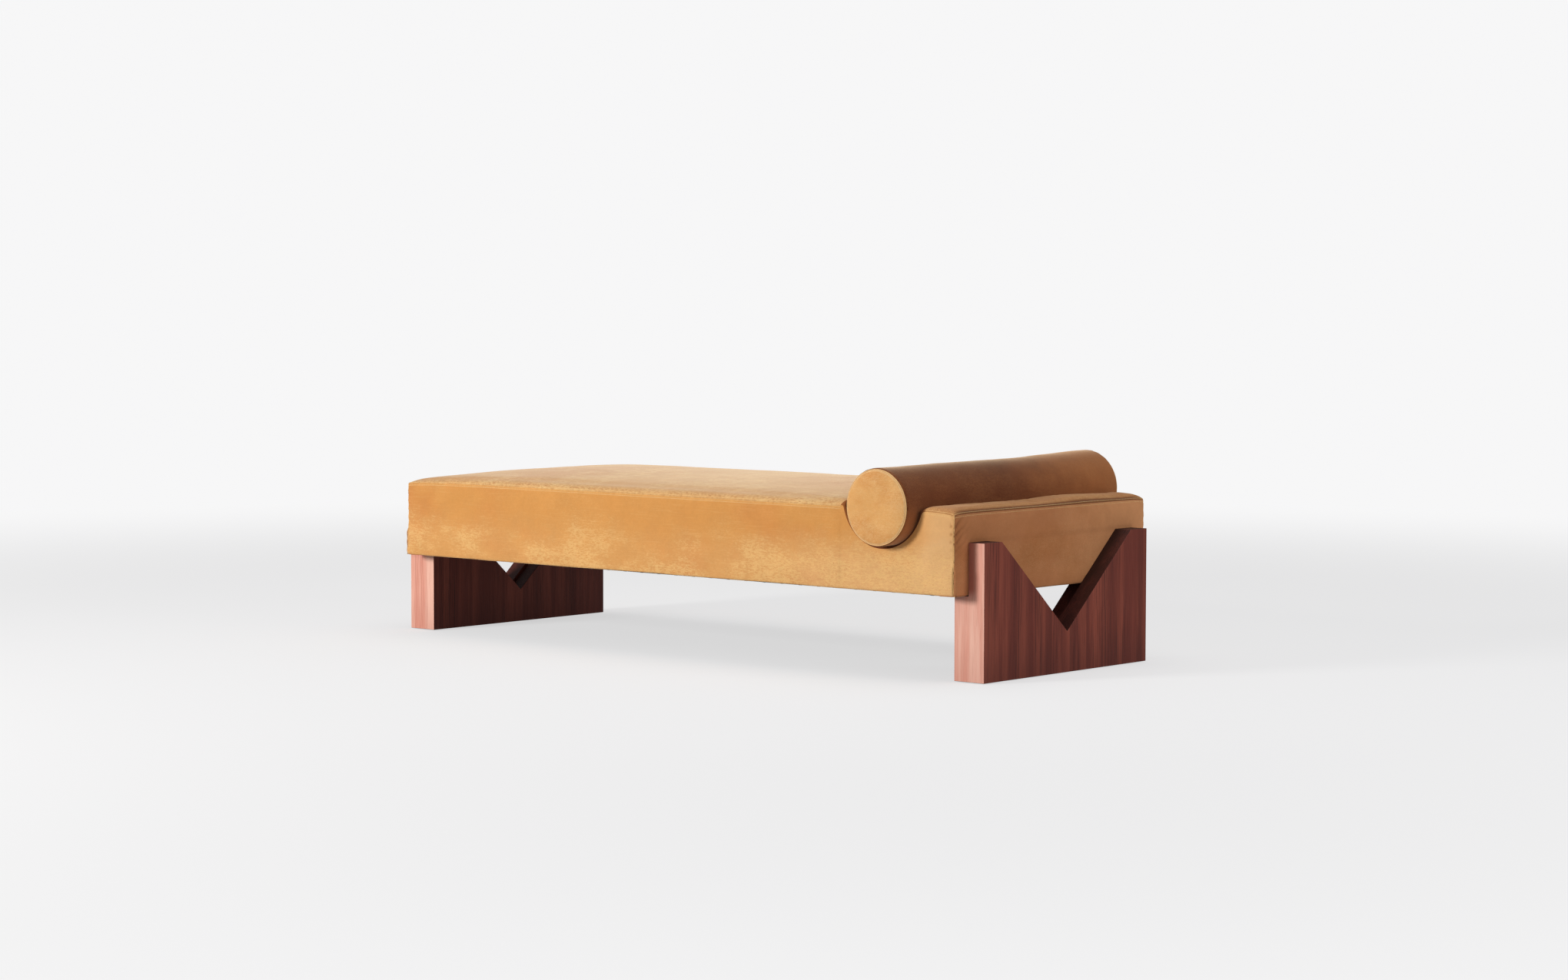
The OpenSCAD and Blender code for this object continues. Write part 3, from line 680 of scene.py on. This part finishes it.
def shape_corners(net):
    """Sets the frame's swell into the walls and rounds the vertical corners, for every panel alike."""
    out = net.copy()
    z = net[:, 2]
    low = 1 / (1 + np.exp((z - (FRAME_TOP + 0.006)) / 0.004))
    belly = np.sin(np.clip((z - FRAME_TOP) / (SEAM - FRAME_TOP), 0, 1) * math.pi)
    past_board = ease(np.abs(net[:, 1]), BOARD_Y + 0.004, BOARD_Y + 0.034)
    end_step = np.where(net[:, 0] < 0, 0.0105, 0.0026) * past_board
    side_step = 0.0016 + 0.0022 * ease(net[:, 0], 0.4, 0.94)
    for axis, limit, step, fat in ((0, END, end_step, 0.0010), (1, SIDE, side_step, 0.0016)):
        on = np.clip((np.abs(net[:, axis]) - (limit - 0.012)) / 0.012, 0, 1)
        above = np.clip((z - SEAM + 0.004) / 0.03, 0, 1)
        swell = step * low + fat * belly - 0.0014 * (1 - above)
        out[:, axis] += np.sign(net[:, axis]) * on * swell * (1 - above)
    out[:, 1] += 0.0042 * ease(net[:, 1], 0.20, SIDE) * ease(net[:, 0], 0.4, 0.9)
    a = np.clip((np.abs(out[:, 0]) - (END - CORNER)) / CORNER, 0, None)
    b = np.clip((np.abs(out[:, 1]) - (SIDE - CORNER)) / CORNER, 0, None)
    both = (a > 0) & (b > 0)
    a1 = a * np.sqrt(np.clip(1 - b * b / 2, 0.2, 1))
    b1 = b * np.sqrt(np.clip(1 - a * a / 2, 0.2, 1))
    out[both, 0] = np.sign(out[both, 0]) * (END - CORNER + CORNER * a1[both])
    out[both, 1] = np.sign(out[both, 1]) * (SIDE - CORNER + CORNER * b1[both])
    return out


# The cover has its rows close together by the seam, in millimetres from it.
NEAR_SEAM = [0, 0.8, 1.6, 2.8, 4.0, 4.8, 5.5, 6.2, 7.2, 9, 11.5, 14.5]
FINE_ARCS = np.array(NEAR_SEAM + [18, 22, 26.5, 31, 36.4]) / 36.4
FINE_DEPTHS = np.concatenate([np.array(NEAR_SEAM) * MM, np.linspace(0.02, 0.2, 28)])
ROUGH_ARCS = np.array([0, 0.3, 0.65, 1.0])
ROUGH_DEPTHS = np.concatenate([np.array([0, 10]) * MM, np.linspace(0.02, 0.2, 13)])

UNDER_FRAME = (0.006, 0.02, HEM_RETURN)
seat, (top_rows, top_columns) = seat_skin(FINE_ARCS, 92, 230, 9, 46, 12, FINE_DEPTHS, UNDER_FRAME)
seat.weld()
for key in ("arc", "share", "corner", "drop"):
    seat.mark[key] = np.where(np.isinf(seat.mark[key]), 1.0, seat.mark[key])
seat.net = shape_corners(seat.net)

rough, _ = seat_skin(ROUGH_ARCS, 50, 110, 5, 22, 7, ROUGH_DEPTHS, (0.015, HEM_RETURN))
rough.weld()
rough.net = shape_corners(rough.net)
held = np.maximum(bell(rough.mark["arc"], 0.004), rough.mark["share"])
held = np.maximum(held, (rough.net[:, 2] < HEM + 0.004) * 1.0)
held = np.maximum(held, bell(rough.mark["corner"], 0.006) * (rough.mark["corner"] < 0.5))
seat_moved = carry(rough.net, billow(rough, held, SEAT_SWELL, PRESSURE, shrink=-0.004), seat.net)



def dress_seat(moved):
    """The seat's swell, seams, creases and puckers, and the marks that the velvet reads."""
    out = seat.normals()
    arc, share, corner = seat.mark["arc"], seat.mark["share"], seat.mark["corner"]
    drop = seat.mark["drop"]
    sewn = 1 - share
    on_top = drop < 1e-9
    by_seam = corner < 0.5
    x, y, z = seat.net.T
    at_near_corner = (x > 0) & (y < 0)
    push = 0.0016 * ripple(seat.net, 0.28, 1) + 0.0008 * ripple(seat.net, 0.09, 2)
    push *= np.clip(arc / 0.03, 0, 1) * sewn
    seam_dip = 0.0011 * bell(arc, 0.0014) + 0.00055 * bell(arc - STITCH_GAP, 0.0013)
    push -= sewn * seam_dip
    gather = ripple(np.stack([x, y, z * 0.25], 1), 0.016, 3)
    push += sewn * 0.00055 * gather * np.exp(-(arc / 0.014)) * (arc > 0.002)
    push -= 0.0009 * bell(corner, 0.0016) * by_seam
    by_end = np.exp(-np.clip(END - 0.004 - np.abs(x), 0, None) / 0.022)
    by_side = np.exp(-np.clip(SIDE - 0.004 - np.abs(y), 0, None) / 0.02)
    roll_at_end = np.clip(by_end - by_side, 0, 1) * on_top
    push -= 0.0013 * roll_at_end * bell(arc - ROLL_CREASE, 0.004)
    down = SEAM - z
    fan = np.sin((down * 0.9 + corner * 0.7) / PUCKER_WAVE * 2 * math.pi + 2.4 * ripple(seat.net, 0.035, 4))
    end_wall = (np.abs(x) > END - 0.012) & ~on_top
    puckered = np.where(end_wall, np.exp(-corner / 0.024) * bell(down - 0.045, 0.045), 0)
    puckered *= np.clip(corner / 0.009, 0, 1)
    push += 0.0028 * fan * puckered * np.where(at_near_corner, 1.0, 0.3)
    creases = np.sin((x * 0.35 + z * 1.0) / CREASE_WAVE * 2 * math.pi + 2.2 * ripple(seat.net, 0.06, 5))
    by_corner = np.exp(-((END - np.abs(x)) / 0.07)) * (~on_top) * (np.abs(y) > SIDE - 0.012)
    push += 0.0005 * creases * by_corner * np.clip(down / 0.03, 0, 1)
    seat.net = seat.net + moved * sewn[:, None] + out * push[:, None]
    against = (np.abs(y) < BOARD_Y + 0.004) & (z < BOARD_TOP + 0.002)
    reach = np.where(against, BOARD_FACE - BOARD_GAP, 1.0)
    seat.net[:, 0] = np.clip(seat.net[:, 0], -reach, reach)

    roll = bell(arc - 0.012, 0.016) * on_top
    band_top = bell(arc, 0.005) * (~on_top)
    crush = (roll * 0.95 * (1 - 0.8 * roll_at_end) + band_top * 0.6) * sewn
    crush = crush + 0.5 * bell(corner, 0.003) * by_seam
    crush = crush + 0.5 * bell(drop - (SEAM - HEM), 0.006) * (~on_top)
    seat.mark["crush"] = np.clip(crush, 0, 1)
    shade = 0.85 * roll_at_end * bell(arc - ROLL_CREASE, 0.0055)
    shade += 0.4 * roll_at_end * (arc < 0.008)
    shade += 0.15 * on_top * sewn * ease(x, 0.80, 0.86) * (1 - crush)
    shade += 0.5 * bell(arc, 0.0010) * sewn * by_end
    shade += 0.35 * bell(corner, 0.002) * by_seam
    shade += np.clip(-fan, 0, 1) * puckered * 0.9 * at_near_corner
    in_groove = share * on_top * ease(x, 0.66, 0.70)
    shade += in_groove * (0.35 + 0.5 * np.exp(-(SIDE - np.abs(y)) / 0.02))
    seat.mark["shade"] = np.clip(shade, 0, 1)
    # painted highlight: pale lines along each seam and its stitch row, fainter along the ends, and on the
    # vertical corners
    painted_highlight = 0.45 * bell(arc - 0.0012, 0.0011)
    painted_highlight += 0.55 * bell(arc - STITCH_GAP, 0.0011)
    painted_highlight = painted_highlight * sewn * (1 - 0.75 * by_end * (1 - by_side))
    painted_highlight += 0.4 * bell(corner, 0.0022) * by_seam
    seat.mark["painted_highlight"] = np.clip(painted_highlight, 0, 1)


dress_seat(seat_moved)

top = seat.cut("seat_top", TOP_VELVET, "base", "velvet", PILE_SHADE_AND_HIGHLIGHT_MARKS, ("share", 0.3, LINING_VELVET_PAINTED_SHADE))
top.data.materials.append(STRIP_VELVET)
for poly in top.data.polygons:  # the narrow strip between the groove and the head end
    if poly.material_index == 0 and poly.center.x > GROOVE_X:
        poly.material_index = 2
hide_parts("cover_top_panel")
for name, finish, node in (
    ("seat_front_band", BAND_VELVET, "cover_front_band"),
    ("seat_back_band", BAND_VELVET, "cover_back_band"),
    ("seat_foot_panel", END_VELVET, "cover_foot_panel"),
    ("seat_head_panel", END_VELVET, "cover_head_panel"),
):
    wall_piece = seat.cut(name, finish, "base", "velvet", PILE_SHADE_AND_HIGHLIGHT_MARKS)
    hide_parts(node)

rough_out = rough.normals()
foam_foot = FRAME_TOP - 0.012
over_foam = [f for f in rough.all_faces() if rough.net[f, 2].min() > foam_foot]
round_frame = [f for f in rough.all_faces() if rough.net[f, 2].min() <= foam_foot]
at_head = [f for f in over_foam if rough.net[f, 0].min() > GROOVE_X]
for name, node, faces, depth, inset in (
    ("wadding_under_cover", "seat_wadding", over_foam, 0.0068, 0.007),
    ("padding_round_frame", "frame_padding", round_frame, 0.0040, 0.005),
    ("foam_at_head", "head_foam", at_head, 0.0110, 0.012),
):
    limit = np.array([END - inset, SIDE - inset, 1.0])
    net = np.clip(rough.net - rough_out * depth, -limit, limit)
    net[:, 2] = np.maximum(net[:, 2], HEM + 0.0012)
    fleece = piece(name, net, faces, FLEECE, "base")
    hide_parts(node)


# ---------------------------------------------------------------- seams, threads and beads


def stitches(name, paths, body):
    """Rows of short raised stitches along paths of (point, outward) pairs."""
    points, faces = [], []
    for path, outward in paths:
        leg = np.linalg.norm(np.diff(path, axis=0), axis=1)
        run = np.concatenate([[0], np.cumsum(leg)])
        for start in np.arange(0, run[-1] - STITCH_LONG, STITCH_PITCH):
            at = start + np.linspace(0, 1, 5) * STITCH_LONG
            centre = np.stack([np.interp(at, run, path[:, k]) for k in range(3)], 1)
            up = np.stack([np.interp(at, run, outward[:, k]) for k in range(3)], 1)
            up /= np.linalg.norm(up, axis=1, keepdims=True)
            ahead = centre[-1] - centre[0]
            beside = np.cross(ahead / np.linalg.norm(ahead), up)
            lift = np.sin(np.linspace(0, math.pi, 5))
            first = len(points)
            for k in range(5):
                r = THREAD_R * (0.35 + 0.65 * lift[k] ** 0.5)
                middle = centre[k] + up[k] * (THREAD_R * (-0.5 + 1.3 * lift[k]))
                for a in range(5):
                    t = a * 2 * math.pi / 5
                    points.append(middle + r * (math.cos(t) * beside[k] + math.sin(t) * up[k]))
            faces += lattice(5, 5, first, close=True)
            faces += [tuple(first + a for a in range(5))[::-1], tuple(first + 20 + a for a in range(5))]
    return piece(name, points, faces, THREAD, body)


def tube_along(points, faces, path, outward, radius, sides=8):
    """Adds a round bead along a path to the points and faces."""
    first = len(points)
    ahead = np.gradient(path, axis=0)
    ahead /= np.linalg.norm(ahead, axis=1, keepdims=True)
    for p, a, o in zip(path, ahead, outward):
        beside = np.cross(a, o)
        beside /= np.linalg.norm(beside)
        up = np.cross(beside, a)
        for s in range(sides):
            t = s * 2 * math.pi / sides
            points.append(p + radius * (math.cos(t) * beside + math.sin(t) * up))
    faces += lattice(len(path), sides, first, close=True)
    last = first + (len(path) - 1) * sides
    faces += [tuple(first + s for s in range(sides))[::-1], tuple(last + s for s in range(sides))]


def spots(name):
    """Where one panel's lattice points went in the welded net, as rows by columns."""
    start, sizes = 0, {}
    for panel, block in zip(seat.faces, seat.points):
        sizes[panel] = (start, len(block))
        start += len(block)
    begin, count = sizes[name]
    columns = top_rows if name in ("seat_foot_panel", "seat_head_panel") else top_columns
    return seat.where[begin:begin + count].reshape(-1, columns)


out = seat.normals()
inside = slice(STITCH_ROW, -STITCH_ROW)
top_spots = spots("seat_top")
lines = []
for ids in (top_spots[STITCH_ROW, inside], top_spots[-1 - STITCH_ROW, inside],
            spots("seat_front_band")[STITCH_ROW, 2:-2], spots("seat_back_band")[STITCH_ROW, 2:-2]):
    held_here = seat.mark["share"][ids] < 0.25
    cuts = np.flatnonzero(np.diff(held_here.astype(int)))
    lines += [ids[:cuts[0] + 1], ids[cuts[-1] + 1:]]
lines += [top_spots[inside, STITCH_ROW], top_spots[inside, -1 - STITCH_ROW],
          spots("seat_foot_panel")[STITCH_ROW, 2:-2], spots("seat_head_panel")[STITCH_ROW, 2:-2]]
stitches("seat_top_stitching", [(seat.net[ids], out[ids]) for ids in lines], "base")

points, faces = [], []
for name in ("seat_front_band", "seat_back_band"):
    for column in (0, -1):
        ids = spots(name)[1:-3, column]
        tube_along(points, faces, seat.net[ids] - out[ids] * 0.0002, out[ids], BEAD_R)
seams = piece("seat_corner_seams", points, faces, WELT_VELVET_PAINTED_HIGHLIGHT, "base")

# ---------------------------------------------------------------- the bolster

RIM_R, RIM_Y = BOLSTER_R - 0.0032, BOLSTER_END - 0.0006


def bolster_skin(around, along, rings):
    """The bolster's tube and its two caps, welded at the rims."""
    angle = np.linspace(0, 2 * math.pi, around, endpoint=False)
    reach = RIM_Y - np.array([0, 0.4, 1.0, 1.8, 3.0, 4.6, 6.6, 9.0, 12.0]) * MM
    tube_y = np.concatenate([-reach, np.linspace(-reach[-1], reach[-1], along)[1:-1], reach[::-1]])
    from_rim = RIM_Y - np.abs(tube_y)
    curl = np.clip(1 - from_rim / 0.009, 0, 1)
    radius = BOLSTER_R - (BOLSTER_R - RIM_R) * (1 - np.sqrt(1 - curl ** 2 * 0.999))
    ring = np.stack([np.cos(angle), np.zeros(around), np.sin(angle)], 1)
    tube = np.array([[AXIS_X, yy, AXIS_Z] + ring * rr for yy, rr in zip(tube_y, radius)])
    skin = Skin()
    skin.add("bolster_tube", tube, True, close=True, rim=from_rim[:, None], cap=0.0)
    for sign, name in ((-1, "bolster_near_cap"), (1, "bolster_far_cap")):
        by_rim = 1 - np.array([0.6, 1.6, 3.2, 5.5, 8.5]) / 94
        share = np.concatenate([[1.0], by_rim, np.linspace(0.86, 0.0, rings)])
        rr = RIM_R * share
        puff = 0.0038 * (1 - np.exp(-(RIM_R - rr) / 0.0034)) + 0.0026 * (1 - share ** 2)
        cap = np.array([[AXIS_X, sign * (RIM_Y + p), AXIS_Z] + ring * r for p, r in zip(puff, rr)])
        skin.add(name, cap, sign > 0, close=True, rim=(RIM_R - rr)[:, None], cap=1.0)
    return skin.weld()


bolster = bolster_skin(200, 170, 16)
rough_bolster = bolster_skin(80, 70, 8)
held = bell(rough_bolster.mark["rim"], 0.003)
blown = billow(rough_bolster, held, BOLSTER_SWELL, PRESSURE, shrink=-0.01)
bolster_moved = carry(rough_bolster.net, blown, bolster.net)


def lifted(y):
    """How far the bolster's back end has ridden up and its near end sunk."""
    return BACK_LIFT * ease(y, *LIFT_RUN) - FRONT_SINK * ease(-y, *LIFT_RUN)


def dress_bolster(moved):
    """The bolster's swell, gathers and zip groove, and the marks that the velvet reads."""
    out = bolster.normals()
    rim, is_cap = bolster.mark["rim"], bolster.mark["cap"] > 0.5
    x, y, z = bolster.net.T
    turn = np.arctan2(z - AXIS_Z, x - AXIS_X)
    zip_low, zip_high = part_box("zip_tape")
    zip_turn = math.atan2((zip_low.z + zip_high.z) / 2 - AXIS_Z, (zip_low.x + zip_high.x) / 2 - AXIS_X)
    from_zip = np.abs((turn - zip_turn + math.pi) % (2 * math.pi) - math.pi) * BOLSTER_R
    in_zip = (1 / (1 + np.exp((from_zip - 0.0085) / 0.0008))) * (np.abs(y) < zip_high.y) * ~is_cap
    gather = ripple(np.stack([x * 4, y, z * 4], 1), 0.05, 7)
    push = 0.0010 * ripple(bolster.net, 0.16, 8) + 0.0005 * ripple(bolster.net, 0.05, 9)
    push *= np.clip(rim / 0.02, 0, 1)
    push += 0.0007 * gather * np.exp(-rim / 0.012) * (rim > 0.001)
    push -= 0.0006 * bell(rim, 0.0016)
    free = (1 - np.clip(in_zip * 1.0, 0, 1)) * (1 - bell(from_zip, 0.02) * ~is_cap)
    contact = bell(x - GROOVE_X, 0.11) * (z < AXIS_Z) * ~is_cap
    quiet = free * (1 - contact)
    bolster.net = bolster.net + (moved * quiet[:, None]) + out * (push * quiet - 0.0012 * in_zip)[:, None]
    bolster.net[:, 2] += lifted(y)
    bolster.mark["crush"] = np.clip(0.8 * bell(rim, 0.004), 0, 1)
    # painted highlight: a pale line on each cap just inside its rim
    bolster.mark["painted_highlight"] = bell(rim - 0.0018, 0.0018) * is_cap
    bolster.mark["shade"] = np.clip(0.5 * bell(rim, 0.0012), 0, 1)


dress_bolster(bolster_moved)
tube = bolster.cut("bolster_tube", TUBE_VELVET, "bolster", "velvet", PILE_SHADE_AND_HIGHLIGHT_MARKS)
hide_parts("bolster_cover_tube")
for name, node in (("bolster_near_cap", "bolster_cap_front"), ("bolster_far_cap", "bolster_cap_back")):
    cap = bolster.cut(name, CAP_VELVET, "bolster", "velvet", PILE_SHADE_AND_HIGHLIGHT_MARKS)
    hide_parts(node)
inner = rough_bolster.net - rough_bolster.normals() * 0.0045
inner[:, 2] += lifted(inner[:, 1])
fleece = piece("wadding_in_bolster", inner, rough_bolster.all_faces(), FLEECE, "bolster")
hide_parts("bolster_wadding")
for sign, name, node in (
    (-1, "bolster_near_welt", "bolster_welt_front"),
    (1, "bolster_far_welt", "bolster_welt_back"),
):
    points, faces = [], []
    turns = np.linspace(0, 2 * math.pi, 241)
    radial = np.stack([np.cos(turns), np.zeros(241), np.sin(turns)], 1)
    path = np.array([AXIS_X, sign * RIM_Y, AXIS_Z + lifted(sign * RIM_Y)]) + radial * (RIM_R + 0.0002)
    tube_along(points, faces, path, radial + np.array([0, sign * 0.5, 0]), BEAD_R)
    welt = piece(name, points, faces, WELT_VELVET_PAINTED_HIGHLIGHT, "bolster")
    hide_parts(node)

# ---------------------------------------------------------------- the dust cover under the seat

low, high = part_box("dust_cover")
DUST_ROWS, DUST_COLUMNS = 66, 158
dust_x, dust_y = np.linspace(low.x, high.x, DUST_COLUMNS), np.linspace(low.y, high.y, DUST_ROWS)
grid_x, grid_y = np.meshgrid(dust_x, dust_y)
from_edge = np.minimum(high.x - np.abs(grid_x), high.y - np.abs(grid_y))
sag = 0.0016 * (1 - np.exp(-from_edge / 0.05))
dust = np.stack([grid_x, grid_y, (low.z + high.z) / 2 - sag * 0.6], 2).reshape(-1, 3)
dust[:, 2] += 0.0007 * ripple(dust, 0.12, 11) * np.clip(from_edge.reshape(-1) / 0.05, 0, 1)
under = piece("dust_cover_cloth", dust, lattice(DUST_ROWS, DUST_COLUMNS), DUST_CLOTH, "base")
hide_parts("dust_cover")


# ---------------------------------------------------------------- the legs' boards


def board(node_name, outer_sign):
    """A board with its sharp arrises eased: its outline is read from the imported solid's flat face."""
    low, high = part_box(node_name)
    face_x = high.x if outer_sign > 0 else low.x
    source = bmesh.new()
    source.from_mesh(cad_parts[node_name].data)
    bmesh.ops.remove_doubles(source, verts=source.verts, dist=0.00001)
    flat = [f for f in source.faces if all(abs(v.co.x - face_x) < SAME for v in f.verts)]
    edges = {}
    for f in flat:
        for e in f.edges:
            edges[e] = edges.get(e, 0) + 1
    rim = [e for e, n in edges.items() if n == 1]
    links = {}
    for e in rim:
        a, b = e.verts
        links.setdefault(a, []).append(b)
        links.setdefault(b, []).append(a)
    start = min(links, key=lambda v: (round(v.co.z, 5), v.co.y))
    loop, seen = [start], {start}
    while True:
        onward = [v for v in links[loop[-1]] if v not in seen]
        if not onward:
            break
        loop.append(onward[0])
        seen.add(onward[0])
    outline = [Vector((v.co.y, v.co.z)) for v in loop]
    source.free()
    kept = []
    for i, p in enumerate(outline):
        before, after = outline[i - 1], outline[(i + 1) % len(outline)]
        a, b = (p - before).normalized(), (after - p).normalized()
        if abs(a.x * b.y - a.y * b.x) > 0.001:
            kept.append(p)
    mesh = bmesh.new()
    near = [mesh.verts.new((low.x, p.x, p.y)) for p in kept]
    far = [mesh.verts.new((high.x, p.x, p.y)) for p in kept]
    mesh.faces.new(near)
    mesh.faces.new(far[::-1])
    for i in range(len(kept)):
        j = (i + 1) % len(kept)
        mesh.faces.new((near[j], near[i], far[i], far[j]))
    bmesh.ops.recalc_face_normals(mesh, faces=mesh.faces)
    glue_x = low.x if outer_sign > 0 else high.x
    eased = [e for e in mesh.edges if any(abs(v.co.x - glue_x) > SAME for v in e.verts)]
    bmesh.ops.bevel(mesh, geom=eased, offset=ARRIS, segments=3, profile=0.6, affect="EDGES")
    bmesh.ops.recalc_face_normals(mesh, faces=mesh.faces)
    made_mesh = bpy.data.meshes.new(node_name + "_eased")
    mesh.to_mesh(made_mesh)
    mesh.free()
    for finish in (BOARD_WOOD, EDGE_WOOD, CUT_WOOD):
        made_mesh.materials.append(finish)
    for e in made_mesh.edges:
        if all(abs(made_mesh.vertices[i].co.x - glue_x) < SAME for i in e.vertices):
            e.use_edge_sharp = True
    for poly in made_mesh.polygons:
        n = poly.normal
        steep = abs(n.y) > 0.3 and abs(n.z) > 0.3
        if abs(n.x) > 0.6:
            poly.material_index = 0
        elif steep or abs(n.z) > 0.8:
            poly.material_index = 2
        else:
            poly.material_index = 1
        poly.use_smooth = True
    made = put(node_name.replace("_board", "_slab"), made_mesh)
    weighted = made.modifiers.new("even_shading", "WEIGHTED_NORMAL")
    weighted.keep_sharp = True
    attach(made, "base")
    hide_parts(node_name)
    return made


for end, sign in (("head", 1), ("foot", -1)):
    board(f"{end}_leg_outer_board", sign)
    board(f"{end}_leg_inner_board", -sign)


# ---------------------------------------------------------------- floor, light and camera


def lamp(name, place, aim, power, size, tint=(1, 1, 1)):
    """A soft box turned from its place towards an aim."""
    data = bpy.data.lights.new(name, "AREA")
    data.energy = power
    data.color = tint
    data.shape = "RECTANGLE"
    data.size, data.size_y = size
    made = put(name, data)
    made.location = place
    made.rotation_euler = (Vector(aim) - Vector(place)).to_track_quat("-Z", "Y").to_euler()


FLOOR_REACH, FLOOR_SIDES = 40.0, 64
PAPER = (0.93, 0.928, 0.932, 1)
floor_finish = Finish("studio_paper")
at = floor_finish.place()
from_middle = floor_finish.add("ShaderNodeVectorMath", {"operation": "LENGTH"}, {0: at}, out="Value")
far_away = floor_finish.step(from_middle, 2.2, 6.0)
seen = floor_finish.add("ShaderNodeLightPath", out="Is Camera Ray")
lit = floor_finish.add("ShaderNodeBsdfDiffuse", sockets={"Color": (0.90, 0.90, 0.91, 1)})
glow = floor_finish.add("ShaderNodeEmission", sockets={"Color": PAPER, "Strength": seen * 0.75 + 0.25})
mixed = floor_finish.add("ShaderNodeMixShader", sockets={0: far_away * 0.35 + 0.65, 1: lit, 2: glow})
floor_finish.add("ShaderNodeOutputMaterial", sockets={"Surface": mixed})
floor_mesh = bpy.data.meshes.new("floor")
turns = np.arange(FLOOR_SIDES) * 2 * math.pi / FLOOR_SIDES
ring_at = [(FLOOR_REACH * math.cos(a), FLOOR_REACH * math.sin(a), 0.0) for a in turns]
floor_mesh.from_pydata(ring_at, [], [tuple(range(FLOOR_SIDES))])
floor_mesh.materials.append(floor_finish.material)
floor = put("floor", floor_mesh)

world = bpy.data.worlds.new("studio")
world.use_nodes = True
bpy.context.scene.world = world
sky = world.node_tree
background = sky.nodes["Background"]
path = sky.nodes.new("ShaderNodeLightPath")
strength = sky.nodes.new("ShaderNodeMapRange")
strength.inputs["To Min"].default_value, strength.inputs["To Max"].default_value = 0.30, 1.0
sky.links.new(path.outputs["Is Camera Ray"], strength.inputs["Value"])
sky.links.new(strength.outputs[0], background.inputs["Strength"])
background.inputs["Color"].default_value = PAPER

lamp("key", (-2.2, -6.75, 2.1), (0, 0, 0.3), 385, (1.6, 1.6), (1.0, 0.985, 0.96))
lamp("top", (0.2, 0.4, 4.2), (0, 0, 0.3), 48, (4.0, 3.0))
lamp("fill", (5.5, 0.8, 2.0), (0.3, 0, 0.3), 66, (2.4, 2.0))

CAMERA_AT = (6.2025, -7.1155, 1.0082)
CAMERA_PAN, CAMERA_DIP, CAMERA_ROLL = 40.746, 3.616, 0.111  # in degrees
lens = bpy.data.cameras.new("camera")
lens.sensor_width, lens.lens = 36.0, 81.79
lens.clip_end = 200
camera = put("camera", lens)
camera.matrix_world = (
    Matrix.Translation(CAMERA_AT)
    @ Matrix.Rotation(math.radians(CAMERA_PAN), 4, "Z")
    @ Matrix.Rotation(math.radians(90 - CAMERA_DIP), 4, "X")
    @ Matrix.Rotation(math.radians(CAMERA_ROLL), 4, "Z")
)
bpy.context.scene.camera = camera
bpy.context.scene.view_settings.view_transform = "Standard"
